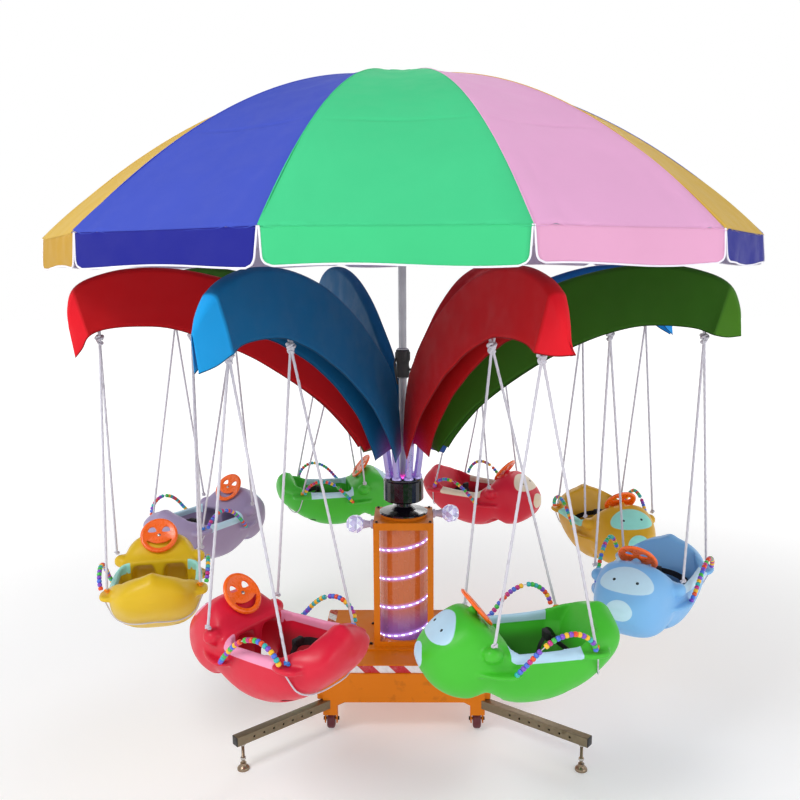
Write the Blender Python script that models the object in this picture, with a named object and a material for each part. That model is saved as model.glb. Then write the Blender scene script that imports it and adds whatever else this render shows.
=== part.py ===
"""Umbrella chair swing ride for small children.

A chassis on four outriggers carries a lit column. On the column turns a hub with eight
arched arms, eight toy seats on ropes and a beach umbrella. The turning axis is the Z axis
and the floor is z = 0. Front is -Y. Lengths are in metres and angles in degrees.
"""

import math

import bmesh
import bpy
from mathutils import Matrix, Vector

# Ride layout
SEAT_COUNT = 8
ARM_STEP = 360 / SEAT_COUNT
FIRST_ARM = -24.6
TOUCH = 0.0003

# Chassis
CHASSIS_X = 0.386
CHASSIS_Y = 0.314
CHASSIS_BOTTOM = 0.157
DECK_TOP = 0.321
EDGE_ROUND = 0.005
PANEL_X = 0.360
PANEL_THICK = 0.009
PANEL_TOP = 0.283
PANEL_BOTTOM = 0.149
PANEL_TAB = 0.064
PANEL_TAB_BOTTOM = 0.088
PANEL_SLOPE = 0.030

# Casters and outriggers
CASTER_X = 0.328
CASTER_Y = 0.272
CASTER_RADIUS = 0.043
CASTER_WIDTH = 0.034
CASTER_LIFT = 0.004
CASTER_AXLE = 0.006
FORK_WIDTH = 0.058
FORK_LENGTH = 0.066
FORK_CHEEK = 0.006
FORK_TOP = 0.108
LEG_TUBE = 0.040
LEG_Z = CHASSIS_BOTTOM + 0.001 - LEG_TUBE / 2
LEG_ROOT = (0.238, 0.2153)
FOOT_X = {"left": 0.665, "right": 0.736}
FOOT_Y = 0.600
LEG_OVERHANG = 0.036
FOOT_ROD = 0.0065
FOOT_PAD = 0.026

# Column
COLUMN_HALF = 0.137
COLUMN_TOP = 0.916
COLLAR_RADIUS = 0.105
COLLAR_TOP = 0.930
COLUMN_FOOT_HALF = 0.170
COLUMN_FOOT_THICK = 0.008
WINDOW_HALF = 0.1095
WINDOW_BOTTOM = 0.350
WINDOW_TOP = 0.882
BORE_RADIUS = 0.1225
TUBE_OUTER = 0.1200
TUBE_INNER = 0.1160
LAMP_PLACES = {"left": (-0.137, -0.085, 0.898, 180.0), "right": (0.137, 0.060, 0.906, 0.0)}
LAMP_REACH = 0.084
LAMP_RADIUS = 0.043

# Hub and arms
FLANGE_RADIUS = 0.113
FLANGE_TOP = 0.940
NECK_RADIUS = 0.034
NECK_BOTTOM = 0.962
DRUM_RADIUS = 0.093
DRUM_BOTTOM = 0.989
DRUM_TOP = 1.090
ARM_RADIUS = 0.016
ARM_PLATE_RADIUS = 0.088
ARM_PLATE_TOP = 1.100
POLE_RADIUS = 0.018
ARM_FOOT = (0.066, 1.094)
# centre line of an arm as (radius, height), with the cover's lower edge beside each point
ARM_LINE = [
    ((0.084, 1.215), (0.170, 1.190)),
    ((0.098, 1.380), (0.236, 1.300)),
    ((0.130, 1.520), (0.335, 1.420)),
    ((0.195, 1.628), (0.440, 1.513)),
    ((0.320, 1.735), (0.560, 1.603)),
    ((0.500, 1.866), (0.700, 1.690)),
    ((0.720, 1.976), (0.860, 1.765)),
    ((0.950, 2.037), (1.020, 1.820)),
    ((1.150, 2.046), (1.150, 1.832)),
    ((1.290, 2.018), (1.265, 1.825)),
    ((1.370, 1.975), (1.335, 1.800)),
]
COVER_END = [((1.412, 1.905), (1.388, 1.772)), ((1.430, 1.832), (1.440, 1.758))]
COVER_THICK = 0.003
COVER_REST = 0.0006

# Hanging seats
SEAT_RADIUS = 1.115
SEAT_YAW = -8.0
HANG_HALF = 0.180
HOOK_Z = 1.985
EYE_RADIUS = 0.0062
ROPE_RADIUS = 0.005
KNOT_DROP = 0.200
FRONT_HOLE = (0.120, 0.840)
REAR_HOLE = (-0.235, 0.800)
BALL_RADIUS = 0.011
BALL_REST = 0.0007
FRONT_BALL_REST = 0.0016
WHEEL_PLACE = (0.128, 0.902)
WHEEL_LEAN = 51.0
WHEEL_RADIUS = 0.080
WHEEL_THICK = 0.014

# Umbrella
RIB_COUNT = 12
PANEL_STEP = 360 / RIB_COUNT
CANOPY_RADIUS = 1.500
CANOPY_EDGE = 2.180
CANOPY_RISE = 0.690
CANOPY_CURVE = 2.1
CANOPY_THICK = 0.004
VALANCE_DROP = 0.112
VALANCE_NOTCH = 0.030
VALANCE_CORNER = 0.05
RIB_RADIUS = 0.0045
RUNNER_Z = 2.360
STRETCHER_REACH = 0.720

PETAL_COLOURS = {
    "red": (0.45, 0.02, 0.03), "green": (0.06, 0.17, 0.03),
    "blue": (0.02, 0.14, 0.33), "teal": (0.01, 0.12, 0.20),
}
PETALS = ["green", "blue", "red", "teal", "green", "red", "teal", "red"]
SEATS = [
    (0.30, 0.58, 0.90), (0.80, 0.52, 0.05), (0.72, 0.06, 0.10), (0.15, 0.55, 0.13),
    (0.42, 0.36, 0.55), (0.82, 0.58, 0.04), (0.72, 0.05, 0.09), (0.16, 0.56, 0.12),
]


def clear_objects():
    for obj in list(bpy.data.objects):
        bpy.data.objects.remove(obj, do_unlink=True)


def material(name, colour, roughness, metallic=0.0):
    mat = bpy.data.materials.new(name)
    mat.use_nodes = True
    shader = mat.node_tree.nodes["Principled BSDF"]
    shader.inputs["Base Color"].default_value = (*colour, 1.0)
    shader.inputs["Roughness"].default_value = roughness
    shader.inputs["Metallic"].default_value = metallic
    return mat


def finish_mesh(name, bm):
    bmesh.ops.recalc_face_normals(bm, faces=bm.faces)
    mesh = bpy.data.meshes.new(name)
    bm.to_mesh(mesh)
    bm.free()
    return mesh


def place(name, mesh, mat, location=(0, 0, 0), turn=0.0, parent=None, round_piece=True):
    """Put a mesh in the scene as one named sub-part."""
    obj = bpy.data.objects.new(name, mesh)
    bpy.context.scene.collection.objects.link(obj)
    if not mesh.materials:
        mesh.materials.append(mat)
    obj.material_slots[0].link = "OBJECT"
    obj.material_slots[0].material = mat
    obj.location = location
    obj.rotation_euler = (0, 0, math.radians(turn))
    obj.parent = parent
    if round_piece:
        mesh.shade_smooth()
        mesh.set_sharp_from_angle(angle=math.radians(40))
    return obj


def empty(name, location=(0, 0, 0), turn=0.0, parent=None):
    obj = bpy.data.objects.new(name, None)
    bpy.context.scene.collection.objects.link(obj)
    obj.location = location
    obj.rotation_euler = (0, 0, math.radians(turn))
    obj.parent = parent
    return obj


def boolean(mesh, tool, operation):
    """Return a new mesh: the mesh joined with, or cut by, a tool mesh."""
    body = bpy.data.objects.new("body", mesh)
    other = bpy.data.objects.new("tool", tool)
    for obj in (body, other):
        bpy.context.scene.collection.objects.link(obj)
    step = body.modifiers.new("join", "BOOLEAN")
    step.operation = operation
    step.solver = "EXACT"
    step.object = other
    bpy.context.view_layer.update()
    graph = bpy.context.evaluated_depsgraph_get()
    result = bpy.data.meshes.new_from_object(body.evaluated_get(graph))
    result.name = mesh.name
    for obj in (body, other):
        bpy.data.objects.remove(obj)
    return result


def joined(mesh, *tools):
    for tool in tools:
        mesh = boolean(mesh, tool, "UNION")
    return mesh


def cut(mesh, *tools):
    for tool in tools:
        mesh = boolean(mesh, tool, "DIFFERENCE")
    return mesh


def moved(mesh, matrix):
    copy = mesh.copy()
    copy.transform(matrix)
    return copy


def turned_z(degrees):
    return Matrix.Rotation(math.radians(degrees), 4, "Z")


def shifted(x, y, z):
    return Matrix.Translation((x, y, z))


def loft(rings):
    """A closed solid through rings of equal length; a ring of one point is a tip."""
    bm = bmesh.new()
    rows = [[bm.verts.new(point) for point in ring] for ring in rings]
    for low, high in zip(rows, rows[1:]):
        count = max(len(low), len(high))
        for i in range(count):
            j = (i + 1) % count
            corners = [low[i % len(low)], low[j % len(low)], high[j % len(high)], high[i % len(high)]]
            bm.faces.new(list(dict.fromkeys(corners)))
    for row in (rows[0], rows[-1]):
        if len(row) > 2:
            bm.faces.new(row)
    return finish_mesh("loft", bm)


def box(low, high, bevel=0.0):
    bm = bmesh.new()
    bmesh.ops.create_cube(bm, size=1.0)
    size = Vector(high) - Vector(low)
    centre = (Vector(high) + Vector(low)) / 2
    bmesh.ops.scale(bm, vec=size, verts=bm.verts)
    bmesh.ops.translate(bm, vec=centre, verts=bm.verts)
    if bevel:
        bmesh.ops.bevel(bm, geom=bm.edges[:], offset=bevel, segments=1, affect="EDGES")
    return finish_mesh("box", bm)


def turned(profile, sides):
    """A solid turned about Z through (radius, height) points; radius 0 is a tip."""
    rings = []
    for radius, height in profile:
        if radius == 0:
            rings.append([(0, 0, height)])
            continue
        angles = [2 * math.pi * i / sides for i in range(sides)]
        rings.append([(radius * math.cos(a), radius * math.sin(a), height) for a in angles])
    return loft(rings)


def tube(points, radius, sides):
    """A mitred round bar along points of the XZ plane, with a flat facet on its upper side."""
    rings = []
    last = len(points) - 1
    path = [Vector((x, 0, z)) for x, z in points]
    for i, point in enumerate(path):
        before = (point - path[max(i - 1, 0)]).normalized()
        after = (path[min(i + 1, last)] - point).normalized()
        along = (before + after).normalized()
        mitre = 1.0
        if 0 < i < last:
            mitre = 1.0 / along.dot(after)
        normal = Vector((-along.z, 0, along.x)) * mitre
        ring = []
        for j in range(sides):
            angle = 2 * math.pi * (j + 0.5) / sides
            side = Vector((0, math.sin(angle), 0))
            ring.append(point + radius * (normal * math.cos(angle) + side))
        rings.append(ring)
    return loft(rings)


def ball(radius, centre, stretch=1.0, level=1):
    bm = bmesh.new()
    bmesh.ops.create_icosphere(bm, subdivisions=level, radius=radius)
    bmesh.ops.scale(bm, vec=(1, 1, stretch), verts=bm.verts)
    bmesh.ops.translate(bm, vec=centre, verts=bm.verts)
    return finish_mesh("ball", bm)


def solidified(bm, name, thickness):
    """Give an open sheet its thickness, on the side that its faces point away from."""
    mesh = finish_sheet(name, bm)
    obj = bpy.data.objects.new(name, mesh)
    bpy.context.scene.collection.objects.link(obj)
    step = obj.modifiers.new("thickness", "SOLIDIFY")
    step.thickness = thickness
    step.offset = -1.0
    step.use_even_offset = True
    bpy.context.view_layer.update()
    graph = bpy.context.evaluated_depsgraph_get()
    result = bpy.data.meshes.new_from_object(obj.evaluated_get(graph))
    result.name = name
    bpy.data.objects.remove(obj)
    return result


def finish_sheet(name, bm):
    mesh = bpy.data.meshes.new(name)
    bm.to_mesh(mesh)
    bm.free()
    return mesh


# Chassis, casters and outriggers

def leg_bar(foot_x, extra=0.0, lengthen=0.0):
    """Square tube of an outrigger in the +X +Y quarter, from its root outwards."""
    run = Vector((foot_x - LEG_ROOT[0], FOOT_Y - LEG_ROOT[1], 0))
    along, length = run.normalized(), run.length
    half = LEG_TUBE / 2 + extra
    bar = box((-lengthen, -half, -half), (length + LEG_OVERHANG + lengthen, half, half))
    angle = math.atan2(along.y, along.x)
    bar.transform(shifted(LEG_ROOT[0], LEG_ROOT[1], LEG_Z) @ Matrix.Rotation(angle, 4, "Z"))
    return bar


def mirrored(mesh, x_sign, y_sign):
    copy = mesh.copy()
    copy.transform(Matrix.Diagonal((x_sign, y_sign, 1, 1)))
    if x_sign * y_sign < 0:
        copy.flip_normals()
    return copy


def corner_housing():
    """Orange block under a chassis corner: socket for the outrigger and fork for the caster."""
    half = FORK_WIDTH / 2
    reach = FORK_LENGTH / 2
    top = CHASSIS_BOTTOM + EDGE_ROUND
    block = box((CASTER_X - half, CASTER_Y - reach, FORK_TOP), (CASTER_X + half, CASTER_Y + reach, top))
    cheeks = []
    axle_z = CASTER_RADIUS + CASTER_LIFT
    for side in (-1, 1):
        inner = CASTER_X + side * (half - FORK_CHEEK)
        outer = CASTER_X + side * half
        low = (min(inner, outer), CASTER_Y - 0.018, axle_z - 0.014)
        high = (max(inner, outer), CASTER_Y + 0.018, FORK_TOP + 0.002)
        cheeks.append(box(low, high))
    block = joined(block, *cheeks)
    axle = turned([(CASTER_AXLE, -half), (CASTER_AXLE, half)], 10)
    axle.transform(shifted(CASTER_X, CASTER_Y, axle_z) @ Matrix.Rotation(math.pi / 2, 4, "Y"))
    return joined(block, axle)


def front_plate():
    """Cover plate of one long side with a tab at each end, drawn in XZ and pushed out in Y."""
    inner = PANEL_X - PANEL_TAB
    outline = [
        (-PANEL_X, PANEL_TOP), (-PANEL_X, PANEL_TAB_BOTTOM), (-inner, PANEL_TAB_BOTTOM),
        (-inner, PANEL_BOTTOM - PANEL_SLOPE / 2), (-inner + PANEL_SLOPE, PANEL_BOTTOM),
        (inner - PANEL_SLOPE, PANEL_BOTTOM), (inner, PANEL_BOTTOM - PANEL_SLOPE / 2),
        (inner, PANEL_TAB_BOTTOM), (PANEL_X, PANEL_TAB_BOTTOM), (PANEL_X, PANEL_TOP),
    ]
    back = -CHASSIS_Y + 0.002
    front = -CHASSIS_Y - PANEL_THICK
    return loft([[(x, y, z) for x, z in outline] for y in (back, front)])


def chassis():
    low = (-CHASSIS_X, -CHASSIS_Y, CHASSIS_BOTTOM)
    high = (CHASSIS_X, CHASSIS_Y, DECK_TOP)
    body = box(low, high, EDGE_ROUND)
    plate = front_plate()
    body = joined(body, plate, mirrored(plate, 1, -1))
    corner = corner_housing()
    for x_sign, y_sign in ((1, 1), (-1, 1), (1, -1), (-1, -1)):
        body = joined(body, mirrored(corner, x_sign, y_sign))
    for x_sign, side in ((-1, "left"), (1, "right")):
        socket = leg_bar(FOOT_X[side], TOUCH, 0.06)
        body = cut(body, mirrored(socket, x_sign, 1), mirrored(socket, x_sign, -1))
    body.name = "chassis"
    return body


def outrigger(foot_x):
    """Square tube with a levelling screw and a round pad under its outer end."""
    bar = leg_bar(foot_x)
    tube_bottom = LEG_Z - LEG_TUBE / 2
    screw = turned([
        (FOOT_PAD, 0), (FOOT_PAD, 0.009), (0.014, 0.020), (0.012, 0.032), (FOOT_ROD, 0.034),
        (FOOT_ROD, tube_bottom - 0.012), (0.012, tube_bottom - 0.011), (0.012, tube_bottom + 0.004),
    ], 12)
    screw.transform(shifted(foot_x, FOOT_Y, 0))
    mesh = joined(bar, screw)
    mesh.name = "outrigger"
    return mesh


def caster_wheel():
    """Wheel with a rounded tread and a bore for the axle, turned about X."""
    half = CASTER_WIDTH / 2
    profile = [
        (CASTER_AXLE + 0.001, -half), (CASTER_RADIUS - 0.010, -half), (CASTER_RADIUS, -half * 0.45),
        (CASTER_RADIUS, half * 0.45), (CASTER_RADIUS - 0.010, half), (CASTER_AXLE + 0.001, half),
    ]
    bm = bmesh.new()
    sides = 20
    rows = []
    for i in range(sides):
        angle = 2 * math.pi * i / sides
        rows.append([bm.verts.new((x, r * math.cos(angle), r * math.sin(angle))) for r, x in profile])
    for i in range(sides):
        ring = rows[i]
        after = rows[(i + 1) % sides]
        for j in range(len(profile)):
            k = (j + 1) % len(profile)
            bm.faces.new((ring[j], ring[k], after[k], after[j]))
    return finish_mesh("caster_wheel", bm)


# Column

def column_housing():
    """Square steel column with a window in each side, a bore for the light tube and a top collar."""
    floor = DECK_TOP + TOUCH
    body = box((-COLUMN_HALF, -COLUMN_HALF, floor), (COLUMN_HALF, COLUMN_HALF, COLUMN_TOP))
    foot = COLUMN_FOOT_HALF
    body = joined(body, box((-foot, -foot, floor), (foot, foot, floor + COLUMN_FOOT_THICK)))
    bore = turned([(BORE_RADIUS, floor - 0.02), (BORE_RADIUS, WINDOW_TOP + 0.020)], 28)
    collar = turned([(COLLAR_RADIUS, COLUMN_TOP - 0.010), (COLLAR_RADIUS, COLLAR_TOP)], 28)
    body = joined(cut(body, bore), collar)
    reach = COLUMN_HALF + 0.05
    window = box((-WINDOW_HALF, -reach, WINDOW_BOTTOM), (WINDOW_HALF, reach, WINDOW_TOP))
    body = cut(body, window, moved(window, turned_z(90)))
    body.name = "column_housing"
    return body


def light_tube():
    floor = DECK_TOP + TOUCH
    top = WINDOW_TOP + 0.019
    shell = turned([(TUBE_OUTER, floor), (TUBE_OUTER, top)], 28)
    core = turned([(TUBE_INNER, floor - 0.01), (TUBE_INNER, top + 0.01)], 28)
    mesh = cut(shell, core)
    mesh.name = "light_tube"
    return mesh


def crystal_lamp():
    """Cone socket with a faceted ball, standing out along +X from the column's side."""
    socket = turned([(0.018, TOUCH), (0.021, 0.010), (0.015, 0.016), (0.020, LAMP_REACH - LAMP_RADIUS + 0.012)], 10)
    socket.transform(Matrix.Rotation(math.pi / 2, 4, "Y"))
    mesh = joined(socket, ball(LAMP_RADIUS, (LAMP_REACH, 0, 0), level=2))
    mesh.name = "crystal_lamp"
    return mesh


# Turning hub and arms

def bearing_flange():
    """Black disc that rises as a cone to the neck of the hub."""
    base = COLLAR_TOP + TOUCH
    mesh = turned([
        (FLANGE_RADIUS, base), (FLANGE_RADIUS, FLANGE_TOP - 0.003), (FLANGE_RADIUS - 0.005, FLANGE_TOP),
        (0.060, FLANGE_TOP + 0.006), (0.040, NECK_BOTTOM - TOUCH),
    ], 28)
    mesh.name = "bearing_flange"
    return mesh


def hub_drum():
    mesh = turned([
        (NECK_RADIUS, NECK_BOTTOM), (NECK_RADIUS, DRUM_BOTTOM - 0.003), (DRUM_RADIUS - 0.010, DRUM_BOTTOM),
        (DRUM_RADIUS, DRUM_BOTTOM + 0.008), (DRUM_RADIUS, DRUM_TOP - 0.004), (DRUM_RADIUS - 0.004, DRUM_TOP),
    ], 28)
    mesh.name = "hub_drum"
    return mesh


def arm_height(radius):
    """Height of the arm's centre line at a distance from the axis."""
    line = [centre for centre, edge in ARM_LINE]
    for (r0, z0), (r1, z1) in zip(line, line[1:]):
        if r0 <= radius <= r1:
            return z0 + (z1 - z0) * (radius - r0) / (r1 - r0)
    raise ValueError("radius is beyond the arm")


def hook_radius(side):
    """Distance from the axis of the outer (+1) or inner (-1) rope eye."""
    return SEAT_RADIUS + side * HANG_HALF / math.cos(math.radians(SEAT_YAW))


def rope_eye(radius):
    """Flat lug under the arm with a round eye for the rope, its hole along the seat's length."""
    half = 0.002
    top = arm_height(radius)
    lug = box((-0.012, -half, HOOK_Z - 0.013), (0.012, half, top))
    hole = turned([(EYE_RADIUS, -0.02), (EYE_RADIUS, 0.02)], 8)
    hole.transform(shifted(0, 0, HOOK_Z) @ Matrix.Rotation(math.pi / 2, 4, "X"))
    lug = cut(lug, hole)
    return moved(lug, shifted(radius, 0, 0) @ turned_z(SEAT_YAW))


def arm_frame():
    """Eight arched tubes on one round foot plate, each with two rope eyes."""
    plate = turned([(ARM_PLATE_RADIUS, DRUM_TOP + TOUCH), (ARM_PLATE_RADIUS, ARM_PLATE_TOP)], 24)
    line = [ARM_FOOT] + [centre for centre, edge in ARM_LINE]
    arm = tube(line, ARM_RADIUS, 6)
    for side in (-1, 1):
        arm = joined(arm, rope_eye(hook_radius(side)))
    body = plate
    for i in range(SEAT_COUNT):
        body = joined(body, moved(arm, turned_z(FIRST_ARM + i * ARM_STEP)))
    bore = turned([(POLE_RADIUS + TOUCH, DRUM_TOP - 0.02), (POLE_RADIUS + TOUCH, ARM_PLATE_TOP + 0.02)], 12)
    body = cut(body, bore)
    body.name = "arm_frame"
    return body


def cover_section(centre, edge, along, pinch):
    """Points across the cover at one place of the arm, from one lower edge to the other."""
    normal = Vector((-along[1], along[0]))
    rest = ARM_RADIUS * math.cos(math.radians(30)) + COVER_REST + COVER_THICK
    ridge = Vector(centre) + normal * rest
    shoulder = Vector(centre) + normal * (rest - 0.016)
    lower = Vector(edge)
    half = [(ridge, 0.010 * pinch), (shoulder, 0.028 * pinch), (lower, 0.050 * pinch)]
    right = [(p[0], -v, p[1]) for p, v in reversed(half)]
    left = [(p[0], v, p[1]) for p, v in half]
    return right + left


def petal_cover():
    """Cloth cover laid over an arm: its sides hang down and meet in a prow past the arm's end."""
    stations = ARM_LINE + COVER_END
    pinches = [1.0] * (len(stations) - 3) + [0.92, 0.55, 0.16]
    centres = [Vector(centre) for centre, edge in stations]
    bm = bmesh.new()
    rows = []
    for i, (centre, edge) in enumerate(stations):
        before = centres[max(i - 1, 0)]
        after = centres[min(i + 1, len(centres) - 1)]
        along = (after - before).normalized()
        points = cover_section(centre, edge, along, pinches[i])
        rows.append([bm.verts.new(point) for point in points])
    for row, after in zip(rows, rows[1:]):
        for j in range(len(row) - 1):
            bm.faces.new((row[j], after[j], after[j + 1], row[j + 1]))
    mesh = solidified(bm, "petal_cover", COVER_THICK)
    return mesh


# Seats

def hull_ring(x, low, wide, top, half_width, peak=0.62):
    """Cross-section of the seat body at x: rounded below and above its widest height."""
    points = []
    sides = 12
    for i in range(sides):
        angle = 2 * math.pi * i / sides
        c = math.cos(angle)
        s = math.sin(angle)
        power = peak if s > 0 else 0.62
        y = half_width * math.copysign(abs(c) ** power, c)
        height = (top - wide) if s > 0 else (wide - low)
        z = wide + height * math.copysign(abs(s) ** 0.80, s)
        points.append((x, y, z))
    return points


def seat_hull():
    """Outer form from nose (+X) to tail, as (x, low, widest, top, half width, roundness of the top)."""
    stations = [
        (0.328, 0.692, 0.732, 0.782, 0.066, 0.62),
        (0.290, 0.650, 0.738, 0.836, 0.110, 0.64),
        (0.235, 0.622, 0.740, 0.880, 0.138, 0.68),
        (0.175, 0.612, 0.745, 0.898, 0.152, 0.72),
        (0.125, 0.628, 0.755, 0.874, 0.160, 0.66),
        (0.075, 0.594, 0.765, 0.822, 0.168, 0.45),
        (0.000, 0.576, 0.775, 0.802, 0.180, 0.35),
        (-0.100, 0.582, 0.775, 0.800, 0.184, 0.35),
        (-0.185, 0.610, 0.775, 0.812, 0.182, 0.40),
        (-0.250, 0.648, 0.775, 0.856, 0.172, 0.75),
        (-0.315, 0.698, 0.785, 0.884, 0.150, 1.05),
        (-0.355, 0.742, 0.800, 0.860, 0.110, 1.05),
    ]
    rings = [hull_ring(*station) for station in stations]
    nose = [(0.343, 0, 0.738)]
    tail = [(-0.372, 0, 0.800)]
    return loft([nose] + rings + [tail])


def cockpit_cutter():
    """Space for the child: flat pad, near upright sides and a leaning back, open above."""
    rear_low, rear_high = -0.205, -0.318
    front_low, front_high = 0.062, 0.052
    low, high = 0.622, 0.940
    half_low, half_high = 0.128, 0.158
    bottom = [
        (front_low, half_low - 0.02), (front_low - 0.02, half_low), (rear_low + 0.03, half_low),
        (rear_low, half_low - 0.03),
    ]
    middle = [
        (front_high, half_high - 0.02), (front_high - 0.02, half_high), (-0.185, half_high),
        (-0.238, half_high - 0.020),
    ]
    top = [
        (front_high, half_high - 0.02), (front_high - 0.02, half_high), (-0.230, half_high - 0.004),
        (rear_high, half_high - 0.070),
    ]
    rings = []
    for outline, z in ((bottom, low), (middle, 0.760), (top, high)):
        right = [(x, -y, z) for x, y in reversed(outline)]
        rings.append([(x, y, z) for x, y in outline] + right)
    return loft(rings)


def leg_tunnel(side):
    """Leg hole: an arch in the front wall that turns down and leaves beside the keel."""
    outline = [(0.040, 0.690), (0.040, 0.778), (0.052, 0.792), (0.130, 0.784), (0.168, 0.745)]
    outline += [(0.176, 0.690), (0.170, 0.540), (0.072, 0.540), (0.062, 0.650)]
    centre = Vector((0.105, 0.680))
    rings = []
    for y, squeeze in ((0.020, 0.84), (0.034, 1.0), (0.098, 1.0), (0.114, 0.84)):
        points = [centre + (Vector(p) - centre) * squeeze for p in outline]
        rings.append([(p.x, side * y, p.y if p.y > 0.60 else 0.540) for p in points])
    return loft(rings)


def wing(side):
    """Flat ear beside the backrest that the rear rope goes through."""
    top = REAR_HOLE[1] - BALL_RADIUS - BALL_REST
    outline = [(-0.160, 0.120), (-0.180, 0.184), (-0.206, 0.206), (-0.262, 0.210), (-0.290, 0.192), (-0.300, 0.100)]
    rings = [[(x, side * y, z) for x, y in outline] for z in (top - 0.020, top)]
    return loft(rings)


def shoulder(side):
    """Rounded boss beside the hood under the front rope's knot."""
    top = FRONT_HOLE[1] - BALL_RADIUS - FRONT_BALL_REST
    x = FRONT_HOLE[0]
    outline = [(x + 0.030, 0.090), (x + 0.022, 0.165), (x + 0.010, 0.194), (x - 0.014, 0.194)]
    outline += [(x - 0.026, 0.165), (x - 0.034, 0.090)]
    low = [(px, side * (py - 0.022), top - 0.034) for px, py in outline]
    high = [(px, side * py, top) for px, py in outline]
    return loft([low, high])


def fin(side):
    """Small pointed front fin under the rail."""
    outline = [(0.185, 0.110), (0.150, 0.182), (0.085, 0.207), (0.040, 0.206), (0.018, 0.120)]
    low = [(x, side * y * 0.96, 0.722) for x, y in outline]
    high = [(x, side * y, 0.738) for x, y in outline]
    return loft([low, high])


def wheel_stem():
    """Boss on the hood that carries the steering wheel."""
    stem = turned([(0.020, -0.075), (0.016, -WHEEL_THICK / 2 - TOUCH)], 8)
    return moved(stem, wheel_matrix())


def wheel_matrix():
    """Place of the steering wheel in the seat: its own Z axis points up and back to the rider."""
    x, z = WHEEL_PLACE
    return shifted(x, 0, z) @ Matrix.Rotation(math.radians(-WHEEL_LEAN), 4, "Y")


def seat_shell():
    hull = seat_hull()
    for side in (-1, 1):
        hull = joined(hull, wing(side), shoulder(side), fin(side))
    hull = joined(hull, wheel_stem())
    hull = cut(hull, cockpit_cutter(), leg_tunnel(1), leg_tunnel(-1))
    hull.name = "seat_shell"
    return hull


def steering_wheel():
    """Round toy wheel with two small upper openings and one wide lower opening."""
    half = WHEEL_THICK / 2
    radius = WHEEL_RADIUS
    disc = turned([(radius - 0.004, -half), (radius, 0), (radius - 0.004, half)], 20)
    holes = []
    for side in (-1, 1):
        eye = turned([(0.014, -0.03), (0.014, 0.03)], 8)
        holes.append(moved(eye, shifted(0.034, side * 0.030, 0)))
    arc = []
    for i in range(6):
        angle = math.radians(-62 + i * 24.8)
        arc.append((-0.060 * math.cos(angle), 0.060 * math.sin(angle)))
    inner = [(-0.034, 0.030), (-0.026, 0.0), (-0.034, -0.030)]
    mouth = loft([[(x, y, z) for x, y in arc + inner] for z in (-0.03, 0.03)])
    mesh = cut(disc, *holes, mouth)
    mesh.name = "steering_wheel"
    return mesh


def rope_set(hook_x):
    """One side's rope: a loop through the eye, a knot and two legs to the seat, in the XZ plane."""
    loop = tube([
        (0.010, -KNOT_DROP), (0.015, -0.014), (0.009, 0.0), (-0.009, 0.0), (-0.015, -0.014), (-0.010, -KNOT_DROP),
    ], ROPE_RADIUS, 6)
    mesh = joined(loop, ball(0.017, (0, 0, -KNOT_DROP), stretch=1.5, level=1))
    for x, z in (FRONT_HOLE, REAR_HOLE):
        end = (x - hook_x, z - HOOK_Z)
        leg = tube([(0, -KNOT_DROP), end], ROPE_RADIUS, 6)
        mesh = joined(mesh, leg, ball(BALL_RADIUS, (end[0], 0, end[1])))
    mesh.name = "rope_set"
    return mesh


# Umbrella

def dome_height(radius):
    return CANOPY_EDGE + CANOPY_RISE * (1 - (radius / CANOPY_RADIUS) ** CANOPY_CURVE)


def rib_point(radius, index, lift=0.0):
    angle = math.radians((index + 0.5) * PANEL_STEP)
    return Vector((radius * math.cos(angle), radius * math.sin(angle), dome_height(radius) + lift))


CANOPY_ROWS = [(0.055, 0.018), (0.140, 0.014), (0.165, 0.0), (0.450, 0.0), (0.750, 0.0), (1.020, 0.0), (1.270, 0.0)]


def umbrella_canopy():
    """Twelve-sided dome of cloth with a separate hanging flap on each side."""
    bm = bmesh.new()
    rows = [[bm.verts.new(rib_point(r, i, lift)) for i in range(RIB_COUNT)] for r, lift in CANOPY_ROWS]
    bm.faces.new(rows[0])
    for row, after in zip(rows, rows[1:]):
        for i in range(RIB_COUNT):
            j = (i + 1) % RIB_COUNT
            bm.faces.new((row[i], after[i], after[j], row[j]))
    tips = [bm.verts.new(rib_point(CANOPY_RADIUS, i)) for i in range(RIB_COUNT)]
    notches = [bm.verts.new(tip.co - Vector((0, 0, VALANCE_NOTCH))) for tip in tips]
    for i in range(RIB_COUNT):
        j = (i + 1) % RIB_COUNT
        near = tips[i].co.lerp(tips[j].co, VALANCE_CORNER)
        far = tips[i].co.lerp(tips[j].co, 1 - VALANCE_CORNER)
        top_near, top_far = bm.verts.new(near), bm.verts.new(far)
        drop = Vector((0, 0, VALANCE_DROP))
        low_near, low_far = bm.verts.new(near - drop), bm.verts.new(far - drop)
        bm.faces.new((rows[-1][i], tips[i], top_near, top_far, tips[j], rows[-1][j]))
        bm.faces.new((tips[i], notches[i], low_near, top_near))
        bm.faces.new((top_near, low_near, low_far, top_far))
        bm.faces.new((top_far, low_far, notches[j], tips[j]))
    return solidified(bm, "umbrella_canopy", CANOPY_THICK)


def rib_line():
    """Centre line of a rib, just inside the cloth and ending short of the hem."""
    radii = [0.020] + [r for r, lift in CANOPY_ROWS[2:]] + [CANOPY_RADIUS]
    seam = [Vector((r, dome_height(r))) for r in radii]
    inset = CANOPY_THICK + RIB_RADIUS * math.cos(math.pi / 4) + 0.0009
    line = []
    for i, point in enumerate(seam):
        along = (seam[min(i + 1, len(seam) - 1)] - seam[max(i - 1, 0)]).normalized()
        line.append(point + inset * Vector((along.y, -along.x)))
    line[-1] = line[-1].lerp(line[-2], 0.04)
    return [tuple(point) for point in line]


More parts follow.
